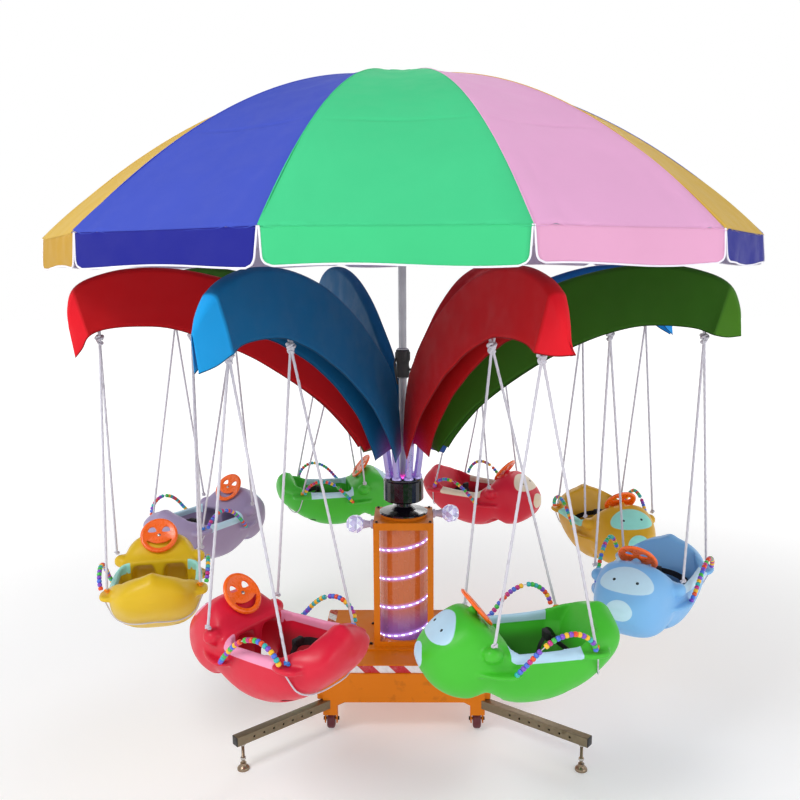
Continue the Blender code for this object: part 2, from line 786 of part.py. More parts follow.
def umbrella_ribs():
    """Crown, ribs, sliding runner and stretchers."""
    crown_top = dome_height(0.05) - CANOPY_THICK - 0.001
    body = turned([(0.040, crown_top - 0.022), (0.040, crown_top - 0.004), (0.030, crown_top)], 12)
    line = rib_line()
    rib = tube(line, RIB_RADIUS, 4)
    elbow = (STRETCHER_REACH, dome_height(STRETCHER_REACH) - CANOPY_THICK - 2 * RIB_RADIUS - 0.002)
    stretcher = tube([(0.026, RUNNER_Z), elbow], RIB_RADIUS, 4)
    branch = joined(rib, stretcher)
    runner = turned([(0.034, RUNNER_Z - 0.022), (0.034, RUNNER_Z + 0.022)], 12)
    for i in range(RIB_COUNT):
        body = joined(body, moved(branch, turned_z((i + 0.5) * PANEL_STEP)))
    body = joined(body, runner)
    bore = turned([(POLE_RADIUS + TOUCH, RUNNER_Z - 0.1), (POLE_RADIUS + TOUCH, RUNNER_Z + 0.1)], 12)
    body = cut(body, bore)
    body.name = "umbrella_ribs"
    return body


def umbrella_pole():
    """Steel pole with the joint sleeve at half height."""
    top = dome_height(0.05) - CANOPY_THICK - 0.001 - 0.022 - TOUCH
    mesh = turned([
        (POLE_RADIUS, DRUM_TOP + TOUCH), (POLE_RADIUS, 1.560), (0.027, 1.564), (0.027, 1.696),
        (POLE_RADIUS, 1.700), (POLE_RADIUS, top),
    ], 12)
    mesh.name = "umbrella_pole"
    return mesh


# Assembly

def build_fixed_parts():
    orange = material("orange paint", (0.75, 0.27, 0.01), 0.4)
    steel = material("galvanised steel", (0.42, 0.41, 0.38), 0.4, 0.9)
    tread = material("maroon tread", (0.09, 0.01, 0.02), 0.5)
    acrylic = material("lit acrylic", (0.80, 0.30, 0.25), 0.2)
    crystal = material("clear crystal", (0.80, 0.75, 0.95), 0.05)
    black = material("black bearing steel", (0.012, 0.010, 0.018), 0.3, 0.4)
    place("base_chassis", chassis(), orange, round_piece=False)
    legs = {side: outrigger(foot_x) for side, foot_x in FOOT_X.items()}
    wheel = caster_wheel()
    corners = {"front_left": (-1, -1), "front_right": (1, -1), "rear_left": (-1, 1), "rear_right": (1, 1)}
    for name, (x_sign, y_sign) in corners.items():
        side = name.split("_")[1]
        place("outrigger_" + name, mirrored(legs[side], x_sign, y_sign), steel)
        spot = (x_sign * CASTER_X, y_sign * CASTER_Y, CASTER_RADIUS + CASTER_LIFT)
        place("caster_wheel_" + name, wheel, tread, location=spot)
    place("column_housing", column_housing(), orange, round_piece=False)
    place("light_tube", light_tube(), acrylic)
    lamp = crystal_lamp()
    for name, (x, y, z, turn) in LAMP_PLACES.items():
        place("crystal_lamp_" + name, lamp, crystal, location=(x, y, z), turn=turn, round_piece=False)
    place("bearing_flange", bearing_flange(), black)


def build_umbrella(rotor):
    steel = material("pole steel", (0.45, 0.45, 0.46), 0.35, 0.9)
    cloth = material("umbrella cloth", (0.25, 0.60, 0.42), 0.7)
    place("umbrella_pole", umbrella_pole(), steel, parent=rotor)
    place("umbrella_ribs", umbrella_ribs(), steel, parent=rotor, round_piece=False)
    place("umbrella_canopy", umbrella_canopy(), cloth, parent=rotor, round_piece=False)


def build_swings(rotor):
    cord = material("white rope", (0.75, 0.74, 0.78), 0.8)
    wheel_paint = material("orange toy plastic", (0.95, 0.20, 0.01), 0.3)
    cloths = {name: material(name + " cover cloth", colour, 0.7) for name, colour in PETAL_COLOURS.items()}
    cover = petal_cover()
    shell = seat_shell()
    wheel = steering_wheel()
    wheel.transform(Matrix.Rotation(math.radians(-WHEEL_LEAN), 4, "Y"))
    hook_offset = HANG_HALF * math.tan(math.radians(SEAT_YAW))
    ropes = {1: rope_set(hook_offset), -1: rope_set(-hook_offset)}
    for i in range(SEAT_COUNT):
        number = str(i + 1)
        arm_turn = FIRST_ARM + i * ARM_STEP
        place("petal_cover_" + number, cover, cloths[PETALS[i]], turn=arm_turn, parent=rotor)
        angle = math.radians(arm_turn)
        centre = (SEAT_RADIUS * math.cos(angle), SEAT_RADIUS * math.sin(angle), 0)
        frame = empty("seat_frame_" + number, centre, arm_turn - 90 + SEAT_YAW, rotor)
        paint = material("seat plastic " + number, SEATS[i], 0.3)
        place("seat_shell_" + number, shell, paint, parent=frame)
        wheel_spot = (WHEEL_PLACE[0], 0, WHEEL_PLACE[1])
        place("steering_wheel_" + number, wheel, wheel_paint, location=wheel_spot, parent=frame)
        for side, name in ((1, "rope_outer_"), (-1, "rope_inner_")):
            spot = (side * hook_offset, side * HANG_HALF, HOOK_Z)
            place(name + number, ropes[side], cord, location=spot, parent=frame)


def main():
    clear_objects()
    build_fixed_parts()
    rotor = empty("rotor")
    black = material("black hub steel", (0.012, 0.010, 0.018), 0.3, 0.4)
    silver = material("arm tube steel", (0.62, 0.60, 0.68), 0.3, 0.9)
    place("hub_drum", hub_drum(), black, parent=rotor)
    place("arm_frame", arm_frame(), silver, parent=rotor)
    build_umbrella(rotor)
    build_swings(rotor)


main()
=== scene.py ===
"""Looks of the umbrella chair swing ride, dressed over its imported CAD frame.

The turning axis is Z, front is -Y and the floor is z = 0. Lengths are in metres, angles in
degrees. The first block repeats the driving sizes of the ride, so each piece sits on the CAD.
"""

import math

import bmesh
import bpy
import numpy as np
from mathutils import Matrix, Vector
from mathutils.bvhtree import BVHTree


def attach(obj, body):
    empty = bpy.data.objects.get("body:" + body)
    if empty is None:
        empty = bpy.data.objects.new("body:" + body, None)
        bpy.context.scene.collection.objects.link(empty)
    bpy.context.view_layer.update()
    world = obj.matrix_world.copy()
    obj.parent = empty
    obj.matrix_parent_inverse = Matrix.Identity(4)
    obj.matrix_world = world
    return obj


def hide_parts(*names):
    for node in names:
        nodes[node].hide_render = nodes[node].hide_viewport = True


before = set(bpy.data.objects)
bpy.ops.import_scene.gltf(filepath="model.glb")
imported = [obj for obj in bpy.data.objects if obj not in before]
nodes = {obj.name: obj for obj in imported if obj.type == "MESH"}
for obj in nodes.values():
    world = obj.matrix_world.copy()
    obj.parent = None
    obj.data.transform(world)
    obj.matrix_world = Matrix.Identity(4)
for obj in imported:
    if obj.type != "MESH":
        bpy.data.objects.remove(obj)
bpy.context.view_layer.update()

# Driving sizes, as in the CAD
SEAT_COUNT = 8
FIRST_ARM = -24.6
ARM_STEP = 45.0
SEAT_RADIUS = 1.115
SEAT_YAW = -8.0
HANG_HALF = 0.180
HOOK_Z = 1.985
KNOT_DROP = 0.200
ROPE_RADIUS = 0.0057
FRONT_HOLE = (0.120, 0.840)
REAR_HOLE = (-0.235, 0.800)
WHEEL_PLACE = (0.128, 0.902)
WHEEL_LEAN = 51.0
WHEEL_RADIUS = 0.080
WHEEL_THICK = 0.014
RIB_COUNT = 12
CANOPY_RADIUS = 1.500
CANOPY_EDGE = 2.180
CANOPY_RISE = 0.690
CANOPY_CURVE = 2.1
VALANCE_DROP = 0.112
DECK_TOP = 0.321
CHASSIS_X = 0.386
CHASSIS_Y = 0.314
COLUMN_HALF = 0.137
COLUMN_TOP = 0.916
TUBE_OUTER = 0.1200
ARM_RADIUS = 0.016
ARM_LINE = [
    ((0.084, 1.215), (0.170, 1.190)),
    ((0.098, 1.380), (0.236, 1.300)),
    ((0.130, 1.520), (0.335, 1.420)),
    ((0.195, 1.628), (0.440, 1.513)),
    ((0.320, 1.735), (0.560, 1.603)),
    ((0.500, 1.866), (0.700, 1.690)),
    ((0.720, 1.976), (0.860, 1.765)),
    ((0.950, 2.037), (1.020, 1.820)),
    ((1.150, 2.046), (1.150, 1.832)),
    ((1.290, 2.018), (1.265, 1.825)),
    ((1.370, 1.975), (1.335, 1.800)),
]
COVER_END = [((1.412, 1.905), (1.388, 1.772)), ((1.430, 1.832), (1.440, 1.758))]

# Camera fitted to the photograph
EYE = (0.0484, -3.9092, 2.0635)
EYE_PITCH = 8.78
EYE_YAW = 0.905
EYE_ROLL = -0.36
FOCAL_PIXELS = 863.2
IMAGE_PIXELS = 800


# Small tools

def rgb(red, green, blue):
    """Linear colour from screen values of 0 to 255."""
    return tuple(((v / 255 + 0.055) / 1.055) ** 2.4 for v in (red, green, blue))


def shade(colour, amount):
    return tuple(min(v * amount, 1.0) for v in colour)


def smooth_line(points, steps, closed=False):
    """Catmull-Rom curve through rows of numbers, with so many steps between two rows."""
    rows = np.asarray(points, float)
    if closed:
        rows = np.vstack([rows[-1], rows, rows[0], rows[1]])
    else:
        rows = np.vstack([2 * rows[0] - rows[1], rows, 2 * rows[-1] - rows[-2]])
    line = []
    for before, start, end, after in zip(rows, rows[1:], rows[2:], rows[3:]):
        for t in np.arange(steps) / steps:
            bend = (2 * before - 5 * start + 4 * end - after) * t * t
            turn = (3 * start - before - 3 * end + after) * t ** 3
            line.append(0.5 * (2 * start + (end - before) * t + bend + turn))
    if not closed:
        line.append(rows[-2])
    return np.array(line)


def even_line(points, spacing):
    """The same polyline with points an even distance apart."""
    rows = np.asarray(points, float)
    run = np.concatenate([[0], np.cumsum(np.linalg.norm(np.diff(rows, axis=0), axis=1))])
    count = max(2, int(round(run[-1] / spacing)) + 1)
    at = np.linspace(0, run[-1], count)
    return np.stack([np.interp(at, run, column) for column in rows.T], axis=1)


def grid_faces(rows, columns, ring=False, loop=False):
    faces = []
    for i in range(rows if loop else rows - 1):
        for j in range(columns if ring else columns - 1):
            after_i = (i + 1) % rows
            after_j = (j + 1) % columns
            faces.append((
                i * columns + j, i * columns + after_j,
                after_i * columns + after_j, after_i * columns + j,
            ))
    return faces


def turned(profile, sides=32):
    """A solid turned about Z through (radius, height) points."""
    angles = np.arange(sides) * 2 * math.pi / sides
    points = [(r * math.cos(a), r * math.sin(a), z) for r, z in profile for a in angles]
    faces = grid_faces(len(profile), sides, ring=True)
    faces.append(tuple(reversed(range(sides))))
    faces.append(tuple(range((len(profile) - 1) * sides, len(profile) * sides)))
    return points, faces


def ring_solid(profile, sides=32):
    """A ring turned about Z: the profile is closed and never reaches the axis."""
    angles = np.arange(sides) * 2 * math.pi / sides
    points = [(r * math.cos(a), r * math.sin(a), z) for r, z in profile for a in angles]
    return points, grid_faces(len(profile), sides, ring=True, loop=True)


def sweep(path, radius, sides=10, closed=False, strands=0, pitch=0.022):
    """A round bar or laid rope along a path. strands is the number of strands in the rope."""
    path = np.asarray(path, float)
    count = len(path)
    radius = np.broadcast_to(radius, count)
    if closed:
        tangent = np.roll(path, -1, axis=0) - np.roll(path, 1, axis=0)
    else:
        tangent = np.gradient(path, axis=0)
    tangent /= np.linalg.norm(tangent, axis=1)[:, None]
    normal = np.cross(tangent[0], (0.31, 0.22, 0.92))
    frames = []
    for along in tangent:
        normal = normal - along * np.dot(normal, along)
        normal /= np.linalg.norm(normal)
        frames.append(normal)
    step = np.linalg.norm(np.diff(path, axis=0), axis=1)
    run = np.concatenate([[0], np.cumsum(step)])
    turn = 0.0
    if closed:
        last = frames[-1] - tangent[0] * np.dot(frames[-1], tangent[0])
        turn = math.atan2(np.dot(np.cross(last, frames[0]), tangent[0]), np.dot(last, frames[0]))
    angles = np.arange(sides) * 2 * math.pi / sides
    points = []
    for i in range(count):
        across = np.cross(tangent[i], frames[i])
        about = angles + turn * i / count
        reach = np.full(sides, radius[i])
        if strands:
            lobes = np.abs(np.cos(strands / 2 * (angles - 2 * math.pi * run[i] / pitch)))
            reach = reach * (0.80 + 0.20 * lobes ** 0.6)
        rim = np.outer(np.cos(about), frames[i]) + np.outer(np.sin(about), across)
        points.extend(path[i] + reach[:, None] * rim)
    faces = grid_faces(count, sides, ring=True, loop=closed)
    if not closed:
        faces.append(tuple(reversed(range(sides))))
        faces.append(tuple(range((count - 1) * sides, count * sides)))
    return points, faces


def strap(path, width_axis, width, thick):
    """A flat band along a path; width_axis points across it."""
    path = np.asarray(path, float)
    tangent = np.gradient(path, axis=0)
    across = np.asarray(width_axis, float)
    points = []
    for place, along in zip(path, tangent):
        up = np.cross(along, across)
        up /= np.linalg.norm(up)
        side = np.cross(up, along)
        side /= np.linalg.norm(side)
        for u, v in ((-0.5, -0.3), (-0.46, 0.5), (0.46, 0.5), (0.5, -0.3), (0.0, -0.5)):
            points.append(place + side * u * width + up * v * thick)
    faces = grid_faces(len(path), 5, ring=True)
    faces.append((4, 3, 2, 1, 0))
    faces.append(tuple(range(len(path) * 5 - 5, len(path) * 5)))
    return points, faces


def from_bmesh(bm):
    points = [tuple(v.co) for v in bm.verts]
    faces = [tuple(v.index for v in f.verts) for f in bm.faces]
    bm.free()
    return points, faces


def block(low, high, bevel=0.002, segments=2):
    bm = bmesh.new()
    bmesh.ops.create_cube(bm, size=1.0)
    bmesh.ops.scale(bm, vec=Vector(high) - Vector(low), verts=bm.verts)
    bmesh.ops.translate(bm, vec=(Vector(high) + Vector(low)) / 2, verts=bm.verts)
    if bevel:
        bmesh.ops.bevel(bm, geom=bm.edges[:], offset=bevel, segments=segments, profile=0.5, affect="EDGES")
    bm.verts.index_update()
    return from_bmesh(bm)


def loft(rings):
    """A closed solid through rings of equal length."""
    sides = len(rings[0])
    points = [tuple(p) for ring in rings for p in ring]
    faces = grid_faces(len(rings), sides, ring=True)
    faces.append(tuple(reversed(range(sides))))
    faces.append(tuple(range((len(rings) - 1) * sides, len(rings) * sides)))
    return points, faces


def turned_z(degrees):
    return Matrix.Rotation(math.radians(degrees), 4, "Z")


def shifted(x, y, z):
    return Matrix.Translation((x, y, z))


def pointed(direction):
    """Turns +Z to a direction."""
    return Vector(direction).to_track_quat("Z", "Y").to_matrix().to_4x4()


class Solid:
    """Gathers shapes, each with the number of its material, into one piece."""

    def __init__(self):
        self.points = []
        self.faces = []
        self.slots = []

    def add(self, shape, slot=0, matrix=None):
        points, faces = shape
        rows = np.asarray(points, float)
        if matrix is not None:
            m = np.array(matrix)
            rows = rows @ m[:3, :3].T + m[:3, 3]
            if np.linalg.det(m[:3, :3]) < 0:
                faces = [tuple(reversed(face)) for face in faces]
        start = sum(len(part) for part in self.points)
        self.points.append(rows)
        self.faces += [tuple(start + k for k in face) for face in faces]
        self.slots += [slot] * len(faces)
        return self

    def build(self, name, mats, body, sharp=38.0, outward=True):
        mesh = bpy.data.meshes.new(name)
        mesh.from_pydata(np.vstack(self.points).tolist(), [], self.faces)
        mesh.polygons.foreach_set("material_index", self.slots)
        if outward:
            bm = bmesh.new()
            bm.from_mesh(mesh)
            bmesh.ops.recalc_face_normals(bm, faces=bm.faces)
            bm.to_mesh(mesh)
            bm.free()
        return show(name, mesh, mats, body, sharp)


def show(name, mesh, mats, body=None, sharp=38.0):
    """Put a mesh in the scene with its materials, riding on a CAD body."""
    obj = bpy.data.objects.new(name, mesh)
    bpy.context.scene.collection.objects.link(obj)
    for mat in mats:
        mesh.materials.append(mat)
    mesh.shade_smooth()
    if sharp:
        mesh.set_sharp_from_angle(angle=math.radians(sharp))
    if body:
        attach(obj, body)
    return obj


def applied(obj):
    """The object's mesh with its modifiers applied; the object goes."""
    bpy.context.view_layer.update()
    graph = bpy.context.evaluated_depsgraph_get()
    mesh = bpy.data.meshes.new_from_object(obj.evaluated_get(graph))
    bpy.data.objects.remove(obj)
    return mesh


def carved(shape, tools):
    """The shape less the tool shapes, as a mesh."""
    body = Solid().add(shape).build("body", [], None)
    cutters = [Solid().add(tool).build("cutter", [], None) for tool in tools]
    for cutter in cutters:
        step = body.modifiers.new("cut", "BOOLEAN")
        step.operation = "DIFFERENCE"
        step.solver = "EXACT"
        step.object = cutter
    mesh = applied(body)
    for cutter in cutters:
        bpy.data.objects.remove(cutter)
    return mesh


def mesh_shape(mesh):
    points = np.empty(len(mesh.vertices) * 3)
    mesh.vertices.foreach_get("co", points)
    return points.reshape(-1, 3), [tuple(face.vertices) for face in mesh.polygons]


def softly(points, size, seed):
    """Smooth wandering value of about -1 to 1 at each point, for small unevenness."""
    random = np.random.default_rng(seed)
    total = np.zeros(len(points))
    for wave in range(6):
        direction = random.normal(size=3)
        direction /= np.linalg.norm(direction)
        total += np.sin(points @ direction * 2 * math.pi / (size * random.uniform(0.7, 1.6)) + random.uniform(0, 6.3))
    return total / 2.5


# Materials

class Nodes:
    """A Principled material and short ways to feed it from procedural nodes."""

    def __init__(self, name):
        self.mat = bpy.data.materials.new(name)
        self.mat.use_nodes = True
        self.tree = self.mat.node_tree
        self.shader = self.tree.nodes["Principled BSDF"]
        place = self.tree.nodes.new("ShaderNodeTexCoord")
        self.point = place.outputs["Object"]
        self.uv = place.outputs["UV"]

    def feed(self, socket, value):
        if isinstance(value, bpy.types.NodeSocket):
            self.tree.links.new(value, socket)
        elif isinstance(value, tuple) and len(value) == 3 and len(socket.default_value) == 4:
            socket.default_value = (*value, 1.0)
        else:
            socket.default_value = value

    def set(self, name, value):
        self.feed(self.shader.inputs[name], value)

    def math(self, operation, first, second=0.0):
        node = self.tree.nodes.new("ShaderNodeMath")
        node.operation = operation
        self.feed(node.inputs[0], first)
        self.feed(node.inputs[1], second)
        return node.outputs[0]

    def noise(self, size, detail=3.0, where=None):
        node = self.tree.nodes.new("ShaderNodeTexNoise")
        self.feed(node.inputs["Vector"], where or self.point)
        self.feed(node.inputs["Scale"], 1.0 / size)
        self.feed(node.inputs["Detail"], detail)
        return node.outputs[0]

    def spread(self, value, low, high, to_low=0.0, to_high=1.0):
        node = self.tree.nodes.new("ShaderNodeMapRange")
        node.interpolation_type = "SMOOTHSTEP"
        for socket, number in zip(node.inputs, (value, low, high, to_low, to_high)):
            self.feed(socket, number)
        return node.outputs[0]

    def mix(self, amount, first, second):
        node = self.tree.nodes.new("ShaderNodeMix")
        node.data_type = "RGBA"
        self.feed(node.inputs[0], amount)
        self.feed(node.inputs[6], first)
        self.feed(node.inputs[7], second)
        return node.outputs[2]

    def attribute(self, name):
        node = self.tree.nodes.new("ShaderNodeAttribute")
        node.attribute_name = name
        return node.outputs["Fac"]

    def split(self, vector):
        node = self.tree.nodes.new("ShaderNodeSeparateXYZ")
        self.feed(node.inputs[0], vector)
        return node.outputs[0], node.outputs[1], node.outputs[2]

    def bump(self, height, strength, depth):
        node = self.tree.nodes.new("ShaderNodeBump")
        self.feed(node.inputs["Height"], height)
        self.feed(node.inputs["Strength"], strength)
        self.feed(node.inputs["Distance"], depth)
        self.set("Normal", node.outputs[0])

    def weave(self, thread):
        """Threads over and under along the sheet's own U and V, which are in metres."""
        u, v, w = self.split(self.uv)
        wave = []
        for run in (u, v):
            angle = self.math("MULTIPLY", run, 2 * math.pi / thread)
            wave.append(self.math("SINE", angle))
        return self.math("MULTIPLY", wave[0], wave[1])


def surface(name, colour, rough=0.5, metal=0.0, tone=0.08, blotch=0.10, grain=0.25, grain_size=0.0025,
            depth=0.0004, coat=0.0, sheen=0.0, paint=None, weave=0.0, glow=None, shine=0.5):
    """A finished material: uneven colour, uneven gloss and a fine raised grain."""
    kit = Nodes(name)
    base = kit.mix(kit.noise(blotch, 4.0), shade(colour, 1 - tone), shade(colour, 1 + tone))
    if paint:
        base = paint(kit, base)
    kit.set("Base Color", base)
    kit.set("Roughness", kit.spread(kit.noise(blotch * 0.35), 0.3, 0.7, max(rough - 0.08, 0.02), min(rough + 0.08, 1.0)))
    kit.set("Metallic", metal)
    kit.set("Coat Weight", coat)
    kit.set("Coat Roughness", 0.12)
    kit.set("Sheen Weight", sheen)
    kit.set("Specular IOR Level", shine)
    height = kit.noise(grain_size, 2.0)
    if weave:
        height = kit.math("ADD", height, kit.weave(weave))
    kit.bump(height, grain, depth)
    if glow:
        kit.set("Emission Color", glow[0])
        kit.set("Emission Strength", glow[1])
    return kit.mat


def worn(colour, amount):
    """Paint rule: rubbed and dusty spots of another colour."""
    def paint(kit, base):
        spots = kit.spread(kit.noise(0.05, 8.0), 0.60, 0.74)
        return kit.mix(kit.math("MULTIPLY", spots, amount), base, colour)
    return paint


def stripes(first, second, period, slant):
    """Paint rule: slanting tape stripes that run along X or Y and Z."""
    def paint(kit, base):
        x, y, z = kit.split(kit.point)
        along = kit.math("ADD", kit.math("ADD", x, y), kit.math("MULTIPLY", z, slant))
        part = kit.math("FRACT", kit.math("MULTIPLY", along, 1 / period))
        edge = kit.math("MULTIPLY", kit.spread(part, 0.02, 0.05), kit.spread(part, 0.55, 0.52))
        dirt = kit.spread(kit.noise(0.03, 6.0), 0.45, 0.75, 0.0, 0.35)
        return kit.mix(dirt, kit.mix(edge, first, second), (0.35, 0.30, 0.27))
    return paint


def patches(pale):
    """Paint rule: pale areas where the seat's "pale" attribute, a distance in metres, is above 0, and painted shade,
    darker lower down, where the "hollow" attribute marks the cockpit's inner faces.
    """
    def paint(kit, base):
        edge = kit.spread(kit.attribute("pale"), -0.0012, 0.0012)
        soft = kit.mix(kit.noise(0.05), shade(pale, 0.88), pale)
        # painted shade inside the cockpit, darker towards its bottom
        cockpit_shade = kit.spread(kit.attribute("hollow"), 0.0, 0.05, 0.0, 0.45)
        return kit.mix(edge, kit.mix(cockpit_shade, base, (0.05, 0.04, 0.03)), soft)
    return paint


def near_hub(kit, radius):
    """Share of the hub lamps' light that falls on a point, 0 to 1, within a radius of the axis."""
    x, y, z = kit.split(kit.point)
    away = kit.math("SQRT", kit.math("ADD", kit.math("MULTIPLY", x, x), kit.math("MULTIPLY", y, y)))
    return kit.math("MULTIPLY", kit.spread(away, radius, 0.08), kit.spread(z, 1.40, 1.16))


def hub_glow(kit, base):
    """Violet light of the hub's lamps on the feet of the arms."""
    near = near_hub(kit, 0.16)
    kit.set("Emission Color", rgb(110, 50, 230))
    kit.set("Emission Strength", kit.math("MULTIPLY", near, 0.12))
    return kit.mix(kit.math("MULTIPLY", near, 0.4), base, rgb(150, 130, 214))


def cover_paint(flap):
    """Paint rule: a painted highlight that makes the outer end of a cover brighter, and the hub's magenta light on its
    inner end.
    """
    def paint(kit, base):
        near = near_hub(kit, 0.22)
        kit.set("Emission Color", rgb(200, 30, 150))
        kit.set("Emission Strength", kit.math("MULTIPLY", near, 0.12))
        # the flap colour over the end flap is a painted highlight
        base = kit.mix(kit.attribute("flap"), base, flap)
        return kit.mix(kit.math("MULTIPLY", near, 0.35), base, rgb(150, 20, 120))
    return paint


def coil_glow(kit, base):
    """Lavender light that spreads on the tube along the strip of lamps."""
    x, y, z = kit.split(kit.point)
    turn = kit.math("MULTIPLY", kit.math("ARCTAN2", y, x), STRIP_PITCH / (2 * math.pi))
    rise = kit.math("SUBTRACT", kit.math("SUBTRACT", z, STRIP_START), turn)
    part = kit.math("FRACT", kit.math("MULTIPLY", rise, 1 / STRIP_PITCH))
    off = kit.math("ABSOLUTE", kit.math("SUBTRACT", part, 0.5))
    near = kit.spread(off, 0.36, 0.5)
    low = kit.spread(z, 0.54, 0.38)
    lit = kit.mix(near, kit.mix(low, rgb(186, 92, 30), rgb(120, 84, 190)), rgb(176, 130, 240))
    kit.set("Emission Color", lit)
    kit.set("Emission Strength", kit.math("ADD", kit.math("MULTIPLY", near, 0.30), 0.16))
    base = kit.mix(low, base, rgb(128, 84, 150))
    return kit.mix(kit.math("MULTIPLY", near, 0.4), base, rgb(190, 140, 230))


STRIP_PITCH = 0.138
STRIP_FRONT = 0.376
STRIP_START = STRIP_FRONT + STRIP_PITCH / 4

orange = surface("orange_paint", rgb(214, 116, 4), 0.46, tone=0.08, blotch=0.22, grain=0.06, coat=0.04,
                 paint=worn(rgb(150, 78, 14), 0.30), shine=0.2)
orange_dark = surface("orange_shadow", rgb(120, 58, 14), 0.5, tone=0.15)
galvanised = surface("galvanised", rgb(132, 120, 98), 0.42, 0.85, tone=0.20, blotch=0.03, grain=0.08,
                     paint=worn(rgb(84, 72, 52), 0.6))
chrome = surface("chrome", rgb(190, 186, 180), 0.18, 1.0, tone=0.08, blotch=0.02, grain=0.08)
bronze = surface("foot_plating", rgb(150, 132, 112), 0.30, 0.9, tone=0.25, blotch=0.02, grain=0.15)
black_plastic = surface("black_plastic", rgb(24, 22, 24), 0.45, tone=0.25, blotch=0.02, grain=0.3)
black_gloss = surface("black_steel", rgb(20, 17, 28), 0.16, 0.35, tone=0.35, blotch=0.04, grain=0.10, coat=0.6)
bolt_steel = surface("bolt_steel", rgb(38, 32, 34), 0.35, 0.8, tone=0.3, blotch=0.01)
tread = surface("caster_tread", rgb(92, 22, 34), 0.45, tone=0.2, blotch=0.02, grain=0.3)
hub_grey = surface("caster_hub", rgb(120, 60, 60), 0.4, 0.3, tone=0.2, blotch=0.02)
arm_silver = surface("arm_steel", rgb(190, 186, 206), 0.34, 0.80, tone=0.06, blotch=0.10, grain=0.03, grain_size=0.006,
                     paint=hub_glow)
pole_grey = surface("pole_steel", rgb(164, 164, 170), 0.36, 0.75, tone=0.05, blotch=0.10, grain=0.03, grain_size=0.006)
lit_tube = surface("lit_tube", rgb(184, 92, 40), 0.22, tone=0.10, blotch=0.12, grain=0.05, coat=0.5, paint=coil_glow)
strip_body = surface("strip_silicone", rgb(214, 196, 244), 0.4, tone=0.05, glow=(rgb(176, 140, 250), 0.55))
strip_lamp = surface("strip_lamp", rgb(250, 248, 255), 0.3, tone=0.03, glow=(rgb(245, 240, 255), 3.0))
magenta_lamp = surface("hub_lamp", rgb(250, 90, 190), 0.3, tone=0.05, glow=(rgb(250, 60, 180), 5.0))
crystal = surface("crystal", rgb(214, 208, 240), 0.06, tone=0.20, blotch=0.02, grain=0.02, coat=0.8,
                  glow=(rgb(200, 190, 250), 0.10))
# brighter, more strongly glowing facets of the lamps: painted glints
crystal_glint = surface("crystal_glint", rgb(236, 240, 255), 0.08, tone=0.10, blotch=0.02, grain=0.02, coat=0.8,
                         glow=(rgb(214, 226, 255), 0.30))
lamp_socket = surface("lamp_socket", rgb(190, 176, 200), 0.30, tone=0.15, blotch=0.01, grain=0.04, coat=0.3)
crystal.node_tree.nodes["Principled BSDF"].inputs["Transmission Weight"].default_value = 0.55
rope_white = surface("rope", rgb(204, 202, 212), 0.85, tone=0.10, blotch=0.03, grain=0.5, grain_size=0.001,
                     paint=worn(rgb(150, 146, 156), 0.6))
knot_orange = surface("knot_orange", rgb(246, 150, 20), 0.7, tone=0.12, blotch=0.01, grain=0.4)
knot_blue = surface("knot_blue", rgb(60, 130, 220), 0.7, tone=0.12, blotch=0.01, grain=0.4)
cream = surface("cream_clamp", rgb(214, 208, 176), 0.5, 0.1, tone=0.15, blotch=0.01)
belt_black = surface("belt_webbing", rgb(20, 20, 24), 0.75, tone=0.3, blotch=0.02, grain=0.6, grain_size=0.0012)
wheel_orange = surface("wheel_plastic", rgb(255, 104, 10), 0.30, tone=0.05, blotch=0.05, grain=0.10, coat=0.3)
eye_black = surface("eye_paint", rgb(24, 40, 46), 0.3, tone=0.2, blotch=0.01)
piping = surface("white_piping", rgb(240, 238, 248), 0.7, tone=0.06, blotch=0.02, grain=0.3, grain_size=0.001)
tape = surface("hazard_tape", rgb(200, 20, 40), 0.28, tone=0.05, blotch=0.04, grain=0.08,
               paint=stripes(rgb(186, 12, 34), rgb(226, 220, 224), 0.138, 1.0))


def cloth(name, colour, rough=0.62, tone=0.05, paint=None):
    return surface(name, colour, rough, tone=tone, blotch=0.25, grain=0.30, grain_size=0.002, depth=0.0005,
                   sheen=0.02, weave=0.0016, paint=paint, shine=0.15)


CANOPY_COLOURS = [
    ("green", (70, 206, 140)), ("pink", (232, 172, 214)), ("yellow", (214, 176, 74)), ("blue", (64, 82, 190)),
]
VALANCE_COLOURS = [
    ("green", (66, 200, 132)), ("pink", (228, 166, 202)), ("ochre", (190, 146, 40)), ("navy", (30, 34, 138)),
]
canopy_mats = [cloth("canopy_" + name, rgb(*colour)) for name, colour in CANOPY_COLOURS]
valance_mats = [cloth("valance_" + name, rgb(*colour)) for name, colour in VALANCE_COLOURS]
cloth_inside = cloth("cloth_inside", rgb(212, 206, 228))
